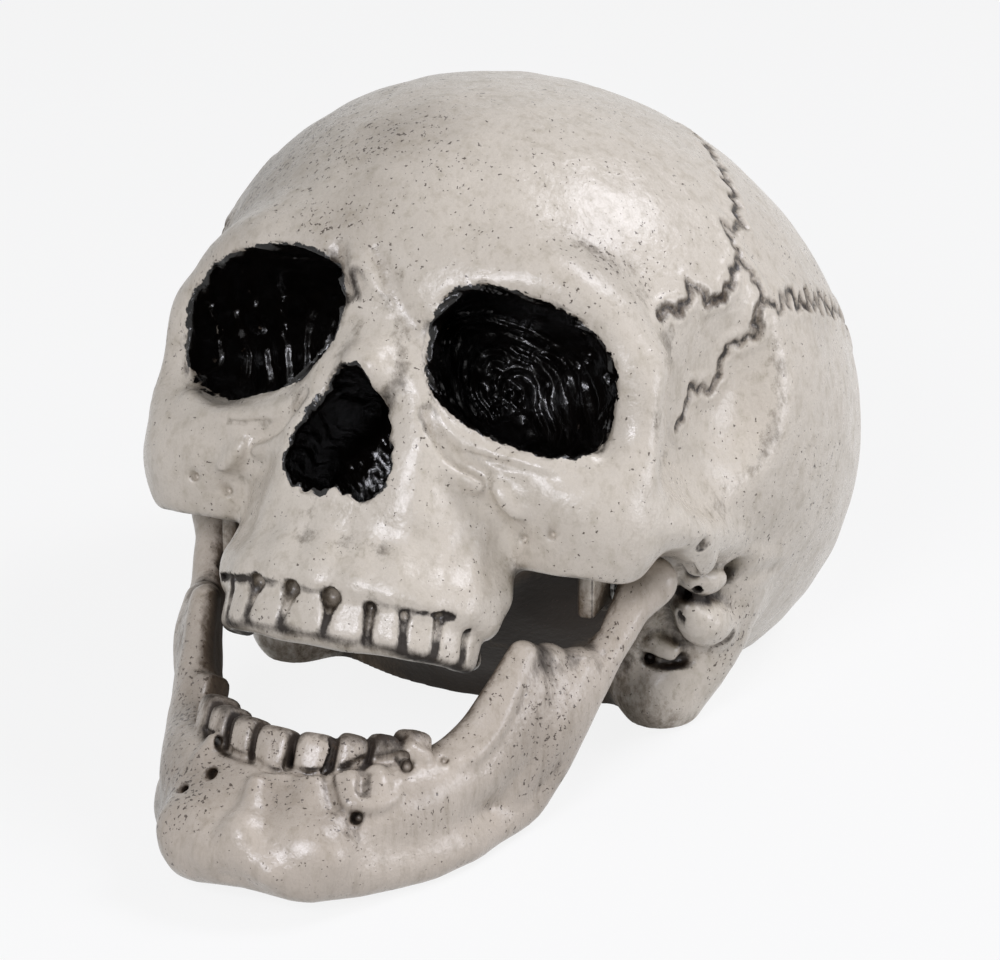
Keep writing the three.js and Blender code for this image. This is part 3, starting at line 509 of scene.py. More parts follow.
# %% [markdown]
# ## Thick black paint
# The sockets and the nose were filled with gloss paint by a round brush turned
# on the spot, so its bristles left rings. They are part of the shape here, as a
# wave about half a millimetre high, because gloss shows every ridge.

# %% Rings of the brush, and the finished head
def brush_rings(x, y, z):
    """Uneven rings round the middle of each socket."""
    right, u, v, w = socket_axes(x, y, z)
    bent_u = u + 0.035 * np.sin(13 * w + 2) + 0.02
    bent_w = w + 0.035 * np.sin(11 * u + 1 + 2 * right) + 0.02
    u, w = bent_u, bent_w
    angle = np.arctan2(w, u)
    ring = np.hypot(u, 1.2 * w) - 0.3 * v
    fine = np.sin(ring * 170 + angle + 2.2 * np.sin(2 * angle + 1) + 1.4 * np.sin(5 * angle + 14 * v) + right)
    broad = np.sin(ring * 62 + 2 * angle + 1.5 * np.sin(3 * angle + 11 * w) + 2 * right)
    stroke = np.sin(3 * angle + 17 * ring + right) * np.sin(23 * u - 31 * w + 4 * np.sin(19 * w + 2 * right))
    return 0.75 * fine * (1 + stroke) + 1.2 * broad * stroke


def brush_streaks(x, y, z):
    """Streaks that run into the nose."""
    return np.sin(210 * x + 25 * np.sin(5 * z) + 2 * np.sin(40 * y)) * 0.7 + 0.5 * np.sin(150 * z + 30 * x)


def lumps(x, y, z):
    """The slight waviness of a thin moulding."""
    wide = np.sin(33 * x + 12 * z) * np.sin(29 * y - 9 * x)
    narrow = 0.7 * np.sin(47 * z + 21 * y) * np.sin(41 * x + 8)
    return (wide + narrow) * 0.0013


# heights in shares
SOCKET_RING, NOSE_STREAK = 0.005, 0.0035
CRACK_DEPTH, LIP_HEIGHT = 0.0075, 0.0045


def head_form(x, y, z):
    form = plain_head(x, y, z) + lumps(x, y, z)
    spots = np.flatnonzero((y < -0.1) & (np.abs(form) < 0.08) & (z > -0.3) & (z < 0.42))
    near_by = x[spots], y[spots], z[spots]
    in_socket = np.clip((0.014 - eye_socket(*near_by)) / 0.01, 0, 1)
    in_nose = np.clip((0.012 - nose_opening(*near_by)) / 0.01, 0, 1)
    rings = SOCKET_RING * in_socket * brush_rings(*near_by)
    form[spots] += rings + NOSE_STREAK * in_nose * brush_streaks(*near_by)
    reach = from_seam(x, y, z)
    crack = CRACK_DEPTH * np.exp(-(reach / 0.0055) ** 2)
    lip = LIP_HEIGHT * np.exp(-((reach - 0.02) / 0.011) ** 2)
    return form + crack - lip


print("rings of", SOCKET_RING * SHARE, "mm, cracks of", CRACK_DEPTH * SHARE, "mm")

# %% [markdown]
# ## The jaw
# The jaw is drawn as it hangs open. On either side five chains of rods are the
# gum line, the body, the lower border and the front and the ridge of the flat
# branch, which ends above in a knuckle that turns on the pin.

# %% The jaw in shares
JAW_RIDGES = {
    "gum line": (
        [(0, -0.925, -0.84, 0.052), (0.13, -0.905, -0.825, 0.052), (0.215, -0.85, -0.785, 0.052),
         (0.275, -0.76, -0.735, 0.055), (0.315, -0.71, -0.67, 0.048), (0.355, -0.69, -0.56, 0.035),
         (0.385, -0.655, -0.43, 0.03)], 0.01),
    "body": (
        [(0, -0.95, -0.89, 0.05), (0.15, -0.92, -0.88, 0.055), (0.25, -0.83, -0.83, 0.055),
         (0.31, -0.71, -0.76, 0.05), (0.37, -0.61, -0.65, 0.04), (0.42, -0.56, -0.52, 0.035),
         (0.42, -0.57, -0.42, 0.03)], 0.09),
    "border": (
        [(0, -0.985, -1, 0.055), (0.14, -0.955, -1, 0.055), (0.265, -0.79, -0.935, 0.05),
         (0.335, -0.685, -0.875, 0.045), (0.37, -0.565, -0.805, 0.04), (0.4, -0.475, -0.735, 0.04),
         (0.44, -0.455, -0.63, 0.037), (0.465, -0.455, -0.51, 0.04), (0.495, -0.415, -0.36, 0.042),
         (0.52, -0.385, -0.25, 0.045)], 0.09),
    "branch": (
        [(0.375, -0.55, -0.7, 0.04), (0.415, -0.52, -0.61, 0.038), (0.45, -0.51, -0.51, 0.036),
         (0.46, -0.5, -0.42, 0.03)], 0.08),
    "branch front": (
        [(0.335, -0.65, -0.69, 0.04), (0.37, -0.63, -0.6, 0.04), (0.4, -0.61, -0.5, 0.035)], 0.06),
}
LOWER_TEETH = [
    (-0.2, -0.85, -0.75, 0.034, -0.655), (-0.15, -0.885, -0.5, 0.033, -0.675),
    (-0.087, -0.912, -0.25, 0.036, -0.692), (-0.011, -0.925, 0.0, 0.043, -0.702),
    (0.072, -0.916, 0.2, 0.041, -0.7), (0.142, -0.89, 0.42, 0.035, -0.688),
    (0.194, -0.853, 0.65, 0.031, -0.67), (0.237, -0.8, 0.95, 0.032, -0.648),
]
RIGHT_MOLAR = (-0.305, -0.715, 1.2, 0.044, -0.598)
JAW_BUMPS = {
    "ridge of the chin": (
        [(-0.012, -1.01, -0.835, 0.014), (-0.001, -1.03, -0.9, 0.017), (0.0, -1.045, -0.95, 0.02)], 0.035),
    "right foot of the ridge": (
        [(-0.002, -1.046, -0.95, 0.018), (-0.03, -1.052, -0.985, 0.014), (-0.075, -1.04, -1.0, 0.01)], 0.06),
    "left foot of the ridge": (
        [(0.0, -1.046, -0.95, 0.018), (0.025, -1.046, -0.99, 0.014), (0.075, -1.045, -1.02, 0.01)], 0.06),
    "first root": (
        [(0.16, -0.93, -0.775, 0.02), (0.182, -0.945, -0.805, 0.026), (0.19, -0.95, -0.825, 0.022)], 0.02),
    "second root": (
        [(0.215, -0.905, -0.76, 0.02), (0.232, -0.915, -0.79, 0.026), (0.235, -0.925, -0.815, 0.02)], 0.02),
    "edge of the relief": (
        [(0.15, -0.95, -0.79, 0.012), (0.175, -0.965, -0.832, 0.014), (0.21, -0.955, -0.836, 0.015),
         (0.24, -0.935, -0.83, 0.014), (0.262, -0.905, -0.805, 0.014), (0.262, -0.885, -0.77, 0.012)], 0.012),
    "low tooth": ([(0.25, -0.84, -0.7, 0.028), (0.275, -0.822, -0.705, 0.024)], 0.012),
    "root under the first tooth": ([(0.02, -0.97, -0.81, 0.014), (0.025, -0.985, -0.86, 0.016)], 0.03),
    "root under the second tooth": ([(0.09, -0.955, -0.8, 0.014), (0.1, -0.975, -0.85, 0.016)], 0.03),
    "right root": ([(-0.16, -0.93, -0.76, 0.02), (-0.17, -0.95, -0.8, 0.016)], 0.02),
    "branch edge": (
        [(0.333, -0.765, -0.7, 0.016), (0.36, -0.735, -0.665, 0.018), (0.38, -0.7, -0.6, 0.018),
         (0.392, -0.675, -0.5, 0.016)], 0.02),
}
JAW_GROOVES = {
    "line under the teeth": (
        [(-0.2, -0.895, -0.735, 0.007), (-0.16, -0.925, -0.755, 0.009), (-0.1, -0.955, -0.778, 0.009),
         (-0.042, -0.97, -0.787, 0.009), (0.015, -0.98, -0.803, 0.009), (0.046, -0.97, -0.789, 0.008),
         (0.083, -0.963, -0.794, 0.009), (0.12, -0.953, -0.776, 0.008), (0.154, -0.937, -0.768, 0.009),
         (0.185, -0.916, -0.738, 0.009), (0.221, -0.893, -0.728, 0.01), (0.262, -0.845, -0.7, 0.008)], 0.006),
    "left of the relief": (
        [(0.128, -0.955, -0.785, 0.004), (0.145, -0.972, -0.815, 0.006),
         (0.168, -0.983, -0.85, 0.004)], 0.02),
    "between the roots": ([(0.2, -0.943, -0.77, 0.003), (0.21, -0.957, -0.8, 0.006)], 0.02),
    "hole in the body": ([(0.215, -0.97, -0.868, 0.014), (0.205, -0.93, -0.862, 0.011)], 0.008),
    "right hole": ([(-0.129, -0.99, -0.832, 0.013), (-0.127, -0.945, -0.83, 0.01)], 0.01),
    "second right hole": ([(-0.179, -0.99, -0.877, 0.01), (-0.177, -0.955, -0.875, 0.008)], 0.01),
    "far right hole": (
        [(-0.25, -0.95, -0.838, 0.006), (-0.235, -0.945, -0.837, 0.009),
         (-0.22, -0.955, -0.836, 0.005)], 0.008),
    "hole by the last tooth": ([(0.268, -0.88, -0.733, 0.015), (0.255, -0.845, -0.73, 0.012)], 0.008),
    "small hole behind": ([(0.32, -0.81, -0.7, 0.008), (0.312, -0.785, -0.7, 0.007)], 0.01),
    "notch of the chin": ([(-0.02, -1.08, -1.065, 0.012), (-0.022, -1.03, -1.05, 0.01)], 0.02),
}
TOOTH_GAPS = [
    (-0.118, -0.942, -0.71), (-0.051, -0.957, -0.72), (0.031, -0.96, -0.72), (0.109, -0.938, -0.715),
    (0.172, -0.9, -0.7), (0.221, -0.855, -0.685), (-0.178, -0.9, -0.7),
]


def jaw_form(x, y, z):
    side = np.abs(x)
    form = np.full(x.shape, 9.0, dtype=x.dtype)
    for stops, softness in JAW_RIDGES.values():
        form = join(form, strand(side, y, z, bent(stops)), softness)
    form = join(form, egg(side, y, z, (0.11, -0.985, -0.95), (0.1, 0.06, 0.06)), 0.08)
    form = join(form, egg(side, y, z, CONDYLE, (0.068, 0.055, 0.062)), 0.04)
    form = worked(form, x, y, z, JAW_BUMPS.values())
    for place in LOWER_TEETH:
        form = join(form, tooth(x, y, z, place, 0.055, -1, 0.06), 0.006)
    form = join(form, tooth(x, y, z, RIGHT_MOLAR, 0.062, -1), 0.012)
    form = worked(form, x, y, z, JAW_GROOVES.values(), carve)
    for gx, gy, gz in TOOTH_GAPS:
        cut = [(gx, gy, gz + 0.03, 0.004), (gx, gy, gz - 0.03, 0.005), (gx, gy, gz - 0.065, 0.009)]
        form = worked(form, x, y, z, [(cut, 0.005)], carve)
    return form + lumps(x, y, z)


print(len(LOWER_TEETH) + 1, "lower teeth,", len(JAW_BUMPS) + len(JAW_GROOVES), "bumps, pits and creases")

# %% [markdown]
# ## Cuts that a machine made
# The table side is cut flat, the hollow takes the base plate, and the hinge has
# its lugs, pockets and bores. These are plain distances in millimetres, taken
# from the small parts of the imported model, so everything lines up.

# %% Sizes at the hinge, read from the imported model
def extent(node, axis):
    low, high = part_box(node)
    return 1000 * low[axis], 1000 * high[axis]


# clearances, radii and depths in millimetres
GAP = 0.35
WALL = 2.6
JAW_LIFT = 1.2
BASE_RECESS = 7
POCKET_RADIUS, POCKET_DEPTH = 7.6, 18
LUG_RADIUS, LUG_BORE = 7, 2.35
CLIP_RADIUS = 4.3
ROOM_HALF = 14
BUSH_BORE, BUSH_END = 3.85, 0.3
WASHER_IN, WASHER_OUT = extent("friction_washer_left", 0)
LUG_OUT = WASHER_IN - GAP
LUG_IN = extent("pin_clip_left", 0)[1] + GAP
PIN_IN = extent("pivot_pin_left", 0)[0]
BUSH_OUT = extent("jaw_bush_left", 0)[1]
KNUCKLE_IN = WASHER_OUT + GAP
print("lug from", round(LUG_IN, 1), "to", round(LUG_OUT, 1), "mm")


def slab(value, low, high):
    return np.maximum(low - value, value - high)


def cut_head(points):
    x, y, z = upright(points)
    outer = head_form(x, y, z) * SHARE
    side = np.abs(points[:, 0])
    py, pz = points[:, 1] - HINGE_Y, points[:, 2] - HINGE_Z
    ring = np.hypot(py, pz)
    recess = np.maximum(outer + WALL, points[:, 2] - BASE_RECESS)
    form = np.maximum(np.maximum(outer, -points[:, 2]), -recess)
    # the pocket that the knuckle turns in
    form = np.maximum(form, -np.maximum(ring - POCKET_RADIUS, slab(side, LUG_OUT, LUG_OUT + POCKET_DEPTH)))
    # the lug, with a plate that ties it to the head
    plate = np.maximum(slab(py, -14, 7), slab(pz, -4, 20))
    form = np.minimum(form, np.maximum(np.minimum(ring - LUG_RADIUS, plate), slab(side, LUG_IN, LUG_OUT)))
    # the pin's bore, and room for its clip
    form = np.maximum(form, -np.maximum(ring - LUG_BORE, slab(side, LUG_IN - 1, LUG_OUT + 1)))
    return np.maximum(form, -np.maximum(ring - CLIP_RADIUS, slab(side, PIN_IN - GAP, LUG_IN)))


def cut_jaw(points):
    lowered = points - np.array([0, 0, JAW_LIFT], dtype=points.dtype)
    outer = jaw_form(*upright(lowered)) * SHARE
    side = np.abs(points[:, 0])
    py, pz = points[:, 1] - HINGE_Y, points[:, 2] - HINGE_Z
    # room for the lug and the washer beside the knuckle, then the bush's bore
    room = np.maximum(slab(py, -ROOM_HALF, ROOM_HALF), slab(pz, -ROOM_HALF, ROOM_HALF))
    form = np.maximum(outer, -np.maximum(room, side - KNUCKLE_IN))
    return np.maximum(form, -np.maximum(np.hypot(py, pz) - BUSH_BORE, side - BUSH_OUT - BUSH_END))


# %% [markdown]
# ## From the rule to a mesh
# The rule is sampled on a grid, first coarsely, then three times finer, each
# time only where the skin can still lie. A level-set library then draws the
# skin through the zero of the finest grid.

# %% Sampling near the surface only
def evaluated(form, points):
    chunks = np.array_split(points, max(1, len(points) // 40000))
    with ThreadPoolExecutor(4) as pool:
        return np.concatenate(list(pool.map(form, chunks)))


def sampled(form, low, high, cell):
    """Distances on a grid of cells, exact only near the skin."""
    coarse = 8
    counts = [math.ceil((b - a) / cell / coarse) + 1 for a, b in zip(low, high)]
    values, step, margin = None, coarse, 15.0
    while step >= 1:
        if values is None:
            near_by = np.indices(counts).reshape(3, -1).T
            values = np.zeros(counts, dtype=np.float32)
        else:
            counts = [2 * n - 1 for n in counts]
            values = values.repeat(2, 0).repeat(2, 1).repeat(2, 2)
            values = values[: counts[0], : counts[1], : counts[2]].copy()
            near_by = np.argwhere(np.abs(values) < margin * cell)
            margin = 0.5 * margin + 0.5
        points = near_by.astype(np.float32) * np.float32(step * cell) + np.float32(low)
        values[near_by[:, 0], near_by[:, 1], near_by[:, 2]] = evaluated(form, points)
        step //= 2
    return values


def grown(name, form, low, high, cell):
    """A mesh object along the zero of a form, in metres."""
    grid = openvdb.FloatGrid(background=9.0)
    grid.copyFromArray(sampled(form, low, high, cell))
    points, triangles, quads = grid.convertToPolygons(isovalue=0.0, adaptivity=0.0)
    places = (points * cell + np.array(low)) / 1000
    mesh = bpy.data.meshes.new(name)
    mesh.from_pydata(places.tolist(), [], quads.tolist() + triangles.tolist())
    mesh.shade_smooth()
    mesh.update()
    print(name, len(mesh.vertices), "points,", len(mesh.polygons), "faces")
    return placed(name, mesh)


# %% The two large mouldings
HEAD_CELL = 0.7
JAW_CELL = 0.55
MARGIN = 4.0


def roomy(box):
    """The corners of a box in millimetres, with room for the finer form."""
    return [1000 * v - MARGIN for v in box[0]], [1000 * v + MARGIN for v in box[1]]


head = grown("head_moulding", cut_head, *roomy(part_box("cranium_shell")), HEAD_CELL)
jaw = grown("jaw_moulding", cut_jaw, *roomy(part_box("jaw")), JAW_CELL)
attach(head, "skull")
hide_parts("cranium_shell")
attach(jaw, "jaw")
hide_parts("jaw")

# %% [markdown]
# ## Where the wash gathers, and painted shade
# The maker brushes thin brown paint over the plastic and wipes it off again, so
# it stays wherever the cloth can't reach. A ball of cloth is rolled over the
# skin: where its middle is closer to the form than its own radius, it touches
# the walls of a dip, and the wash under it is left. Four balls find the fine
# lines, the folds, the broad hollows and the deep places; the deep places get
# painted shade, a near-black brown where shadow falls. A few round places are
# rubbed nearly clean. The inner faces of the jaw and the underside of the head
# get painted shade too, dark brown where they lie in shadow.

# %% Marks on the points of a mesh
def read(rows, name, width=3):
    values = np.empty(width * len(rows), dtype=np.float32)
    rows.foreach_get(name, values)
    return values.reshape(-1, width)


def marked(mesh, name, values):
    layer = mesh.attributes.new(name, "FLOAT", "POINT")
    layer.data.foreach_set("value", np.asarray(values, dtype=np.float32))


# radii in millimetres, and what is left where the cloth rubbed best; the deep ball marks painted shade rather
# than wash
BALLS = {"line": 0.9, "fold": 3.0, "hollow": 9.0, "deep": 22.0}
CLEANEST = 0.1
CLEANEST_LINE = 0.35


def mark_wash_and_shade(mesh, form, wiped):
    """The share of wash left at each point, and of painted shade in the deep places, less in the wiped places
    (x, y, z, size).
    """
    places, normals = 1000 * read(mesh.vertices, "co"), read(mesh.vertices, "normal")
    x, y, z = upright(places)
    kept = np.ones_like(x)
    for cx, cy, cz, size in wiped:
        reach = np.sqrt((np.abs(x) - cx) ** 2 + (y - cy) ** 2 + (z - cz) ** 2) / size
        kept = np.minimum(kept, np.clip(1.6 * reach - 0.6, CLEANEST, 1))
    for name, radius in BALLS.items():
        left = 1 - evaluated(form, places + np.float32(radius) * normals) / radius
        marked(mesh, name, left * (np.maximum(kept, CLEANEST_LINE) if name == "line" else kept))
        print(mesh.name, name, np.round(np.percentile(left, [1, 50, 90, 99]), 2))


mark_wash_and_shade(head.data, cut_head, [(0.3, -0.82, -0.12, 0.26)])
mark_wash_and_shade(jaw.data, cut_jaw, [(0.34, -0.68, -0.82, 0.28), (0.24, -0.86, -1.0, 0.2), (0.05, -1.0, -0.95, 0.2)])


# %% Marks for the black paint, the seams, the stained places and the painted shade
SEAM_REACH = 0.02


def mark_paint(mesh):
    """The paint's depth in millimetres inside its edge, and how near a seam is."""
    x, y, z = upright(1000 * read(mesh.vertices, "co"))
    front = np.maximum(eye_socket(x, y, z), y + 0.05) * SHARE
    in_nose = nose_opening(x, y, z) * SHARE
    marked(mesh, "paint", 1.0 - np.minimum(front, in_nose))
    marked(mesh, "seam", 1 - from_seam(x, y, z) / SEAM_REACH)


def mark_stains_and_shade(mesh, name, stains_and_shade, lift=0.0):
    """Round soft places of x, y, z, size and strength."""
    x, y, z = upright(1000 * read(mesh.vertices, "co") - np.array([0, 0, lift], dtype=np.float32))
    depth = np.zeros_like(x)
    for cx, cy, cz, size, strength in stains_and_shade:
        reach = np.sqrt((x - cx) ** 2 + (y - cy) ** 2 + (z - cz) ** 2) / size
        depth = np.maximum(depth, strength * np.clip(1 - reach, 0, 1))
    marked(mesh, name, depth)


def mark_inside(mesh):
    """Painted shade on the inner faces of the jaw's arch, which lie in shadow."""
    places, normals = 1000 * read(mesh.vertices, "co"), read(mesh.vertices, "normal")
    side = np.clip(places[:, 0] / 25, -1, 1)
    marked(mesh, "shade", np.clip(normals[:, 1] * (1 - np.abs(side)) - normals[:, 0] * side, 0, 1))


# x, y, z, size and strength in shares; most are brown stains, but the large strong ones on the skull's right
# and high on its left side darken sides turned from the lamps: painted shade
HEAD_STAINS_AND_SHADE = [
    (-0.144, -0.912, 0.417, 0.22, 0.7), (-0.122, -0.808, 0.668, 0.24, 0.8), (0.423, -0.776, 0.425, 0.2, 0.6),
    (-0.228, -0.79, 0.358, 0.2, 0.5), (-0.124, -0.893, 0.505, 0.2, 0.5), (0.5, -0.66, -0.03, 0.16, 0.5),
    (0.66, -0.1, 0.1, 0.24, 0.4), (0.6, 0.02, -0.2, 0.16, 0.6), (0.65, -0.1, 0.52, 0.2, 0.5),
    (-0.5, -0.62, 0.1, 0.25, 0.5), (0.2, 0.9, 0.3, 0.4, 0.5), (-0.3, 0.5, 0.8, 0.35, 0.4),
    (-0.5, -0.6, 0.6, 0.5, 1.3), (-0.3, -0.5, 0.85, 0.4, 0.8), (0.62, 0.2, 0.75, 0.35, 0.6),
]
# brown stains, and the strongest, low on the jaw's right, is painted shade on a side turned from the lamps
JAW_STAINS_AND_SHADE = [
    (0.05, -1.0, -0.85, 0.12, 0.8), (0.18, -0.99, -0.87, 0.12, 0.7), (-0.14, -0.97, -0.84, 0.2, 0.9),
    (0.3, -0.85, -0.78, 0.12, 0.5), (0.42, -0.6, -0.6, 0.25, 0.7), (0.44, -0.5, -0.66, 0.2, 0.7),
    (-0.02, -0.92, -0.69, 0.15, 0.9), (0.14, -0.9, -0.68, 0.13, 0.8), (-0.25, -0.78, -0.66, 0.2, 1.2),
    (0.24, -0.8, -0.66, 0.11, 1.0), (-0.42, -0.6, -0.6, 0.25, 0.9), (-0.3, -0.85, -0.92, 0.28, 1.4),
    (0.05, -0.98, -0.86, 0.14, 0.9),
]
# painted shade under the head, under the cheeks and under the ears, where shadow falls: x, y, z, size and
# strength in shares
HEAD_SHADE = [
    (0.0, -0.1, -0.47, 0.55, 2.0), (0.28, -0.3, -0.3, 0.32, 2.4), (-0.28, -0.3, -0.3, 0.32, 2.4),
    (0.42, 0.0, -0.54, 0.24, 0.9), (-0.42, 0.0, -0.54, 0.24, 0.9),
]
mark_paint(head.data)
mark_stains_and_shade(head.data, "stain_and_shade", HEAD_STAINS_AND_SHADE)
mark_stains_and_shade(head.data, "shade", HEAD_SHADE)
mark_stains_and_shade(jaw.data, "stain_and_shade", JAW_STAINS_AND_SHADE, JAW_LIFT)
mark_inside(jaw.data)
marked(jaw.data, "paint", np.full(len(jaw.data.vertices), -9.0))
marked(jaw.data, "seam", np.zeros(len(jaw.data.vertices)))
print(len(HEAD_STAINS_AND_SHADE) + len(JAW_STAINS_AND_SHADE), "stained places,", len(HEAD_SHADE), "shaded ones")

# %% [markdown]
# ## Colours and finishes
# Every colour is written as it looks on a screen and turned to the linear
# values that light adds up in.

# %% Colour, nodes and millimetres
def linear(code):
    channels = [int(code[i:i + 2], 16) / 255 for i in (1, 3, 5)]
    return tuple(c / 12.92 if c <= 0.04045 else ((c + 0.055) / 1.055) ** 2.4 for c in channels) + (1.0,)


def add(tree, kind, sockets=None, **settings):
    """Adds a node with its settings, and sets or links its inputs."""
    node = tree.nodes.new(kind)
    for name, value in settings.items():
        setattr(node, name, value)
    for name, value in (sockets or {}).items():
        if isinstance(value, bpy.types.NodeSocket):
            tree.links.new(value, node.inputs[name])
        else:
            node.inputs[name].default_value = value
    return node


def new_material(name):
    material = bpy.data.materials.new(name)
    material.use_nodes = True
    tree = material.node_tree
    shader = tree.nodes["Principled BSDF"]
    spot = add(tree, "ShaderNodeTexCoord")
    to_mm = {0: spot.outputs["Object"], 1: (1000, 1000, 1000)}
    mm = add(tree, "ShaderNodeVectorMath", to_mm, operation="MULTIPLY").outputs[0]
    return material, tree, shader, mm


print("the bone colour in linear light:", [round(v, 3) for v in linear("#c7bfb1")[:3]])

# %% [markdown]
# ## Painted bone plastic
# The real skin is soft PVC in a bone colour, with speckled brown wash, black
# gloss in the sockets and a thin clear coat. Painted shade darkens the deep
# places, the underside of the head and the inner faces of the jaw, where shadow
# falls. An image texture could hold all that, but it would have to be painted on
# this one skull. Here every coat is laid over the one below it in the maker's
# order, each where a mark or a noise says, so the same table dresses the head
# and the jaw.

# %% The painted bone plastic
def bone_plastic(name, pale, mid, film, wash_and_shade, streak, hollow_film_and_shade):
    """Moulded PVC sprayed pale to mid, smeared with a film, washed with brown, given painted shade in the
    deep and shadowed places, and clear-coated.
    """
    material, tree, shader, mm = new_material(name)
    mark = {key: add(tree, "ShaderNodeAttribute", attribute_name=key).outputs["Fac"]
            for key in ("line", "fold", "hollow", "deep", "shade", "paint", "seam", "stain_and_shade")}
    # the cloth drags its streaks along the way that has the smallest number
    pull = add(tree, "ShaderNodeVectorMath", {0: mm, 1: streak}, operation="MULTIPLY").outputs[0]
    noises = {
        # place, scale in 1/mm, detail, roughness, distortion
        "clouds of the spray": (mm, 1 / 30, 4.0, 0.5, 0.0),
        # 3 mm wide, and longer along the pull
        "streaks of the cloth": (pull, 0.33, 8.0, 0.72, 0.0),
        # about 1 mm apart and 0.6 mm wide, crowded together every 14 mm
        "pores": (mm, 0.95, 2.0, 0.6, 0.0),
        "crowds of pores": (mm, 1 / 14, 3.0, 0.5, 0.0),
        # the black ends in a brushed edge, ragged by about 2 mm
        "edge of the black": (mm, 0.45, 5.0, 0.6, 0.0),
        # coarser than the real spray's 1 mm, so that it shows in the picture
        "orange peel": (mm, 0.55, 4.0, 0.55, 0.0),
        "bristles": (mm, 0.3, 6.0, 0.5, 2.5),
    }
    noise = {}
    for key, (place, scale, detail, rough, twist) in noises.items():
        sockets = {"Vector": place, "Scale": scale, "Detail": detail, "Roughness": rough, "Distortion": twist}
        noise[key] = add(tree, "ShaderNodeTexNoise", sockets).outputs[0]
    # every mark is torn by the same streaks
    drag = noise["streaks of the cloth"]
    torn = add(tree, "ShaderNodeMath", {0: drag, 1: -0.5}, operation="ADD").outputs[0]
    sums = {
        # one value, its weight, and what it is added to
        "hollow": (torn, 0.5, mark["hollow"]),
        "shade": (torn, 1.2, mark["shade"]),
        "fold": (torn, 0.7, mark["fold"]),
        "line": (torn, 0.5, mark["line"]),
        "seam": (torn, 1.1, mark["seam"]),
        "pores": (noise["crowds of pores"], 0.22, noise["pores"]),
        "paint": (noise["edge of the black"], 2.6, mark["paint"]),
    }
    left = {}
    for key, (value, weight, base) in sums.items():
        sockets = {0: value, 1: weight, 2: base}
        left[key] = add(tree, "ShaderNodeMath", sockets, operation="MULTIPLY_ADD").outputs[0]
    sockets = {0: mark["stain_and_shade"], 1: 0.11, 2: left["pores"]}
    pores = add(tree, "ShaderNodeMath", sockets, operation="MULTIPLY_ADD").outputs[0]
    coats = {
        # what shows the coat, where it starts, where it is full, how well it covers, its colour
        "streaks": (drag, 0.48, 0.72, 0.5, film),
        "hollows": (left["hollow"], 0.28, 0.85, 0.6 * hollow_film_and_shade, film),
        # painted shade: a near-black brown in the deep places, where shadow falls
        "painted shade in deep places": (mark["deep"], 0.6, 0.95, 0.8 * hollow_film_and_shade, "#1a1109"),
        # painted shade, brown and then near-black, under the head and on the inner faces of the jaw
        "shade": (left["shade"], 0.2, 0.7, 0.9, wash_and_shade),
        "deep shade": (left["shade"], 0.6, 1.3, 0.9, "#120b06"),
        "folds": (left["fold"], 0.2, 0.75, 0.75, wash_and_shade),
        "deep folds": (left["fold"], 0.5, 0.85, 0.92, "#140c07"),
        "fine lines": (left["line"], 0.2, 0.5, 0.95, "#140c07"),
        "beside the seams": (left["seam"], 0.25, 0.7, 0.55, wash_and_shade),
        "cracks of the seams": (left["seam"], 0.66, 0.86, 0.95, "#150d08"),
        # real stains, and painted shade where the large places darken sides turned from the lamps
        "stains_and_shade": (mark["stain_and_shade"], 0.15, 1.3, 0.6, wash_and_shade),
        "pores": (pores, 0.79, 0.83, 0.85, "#35281c"),
        "black paint": (left["paint"], 1.3, 1.45, 1.0, "#070504"),
    }
    sockets = {0: noise["clouds of the spray"], 6: linear(pale), 7: linear(mid)}
    colour = add(tree, "ShaderNodeMix", sockets, data_type="RGBA").outputs[2]
    cover = {}
    for key, (value, low, high, most, code) in coats.items():
        cover[key] = add(tree, "ShaderNodeMapRange", {0: value, 1: low, 2: high, 3: 0.0, 4: most}).outputs[0]
        sockets = {0: cover[key], 6: colour, 7: linear(code)}
        colour = add(tree, "ShaderNodeMix", sockets, data_type="RGBA").outputs[2]
    tree.links.new(colour, shader.inputs["Base Color"])
    # the thick wash of the fine lines and the painted shade are dull and hold no clear coat, and the black
    # paint is glossy
    black = cover["black paint"]
    thick = add(tree, "ShaderNodeMath", {0: left["line"], 1: left["shade"]}, operation="MAXIMUM").outputs[0]
    bare = add(tree, "ShaderNodeMath", {0: thick, 1: black}, operation="SUBTRACT").outputs[0]
    caked = add(tree, "ShaderNodeMapRange", {0: bare, 1: 0.2, 2: 0.5, 3: 0.0, 4: 1.0}).outputs[0]
    dull = add(tree, "ShaderNodeMapRange", {0: drag, 1: 0.35, 2: 0.7, 3: 0.24, 4: 0.4}).outputs[0]
    dull = add(tree, "ShaderNodeMix", {0: caked, 2: dull, 3: 0.75}).outputs[0]
    rough = add(tree, "ShaderNodeMix", {0: black, 2: dull, 3: 0.1}).outputs[0]
    tree.links.new(rough, shader.inputs["Roughness"])
    clear = add(tree, "ShaderNodeMapRange", {0: bare, 1: 0.2, 2: 0.5, 3: 0.1, 4: 0.0}).outputs[0]
    tree.links.new(clear, shader.inputs["Coat Weight"])
    # orange peel with the pores as pits, and bristle marks in the black
    sockets = {0: cover["pores"], 1: -0.5, 2: noise["orange peel"]}
    pitted = add(tree, "ShaderNodeMath", sockets, operation="MULTIPLY_ADD").outputs[0]
    height = add(tree, "ShaderNodeMix", {0: black, 2: pitted, 3: noise["bristles"]}).outputs[0]
    bump = add(tree, "ShaderNodeBump", {"Height": height, "Distance": 0.0006, "Strength": 0.5}).outputs[0]
    tree.links.new(bump, shader.inputs["Normal"])
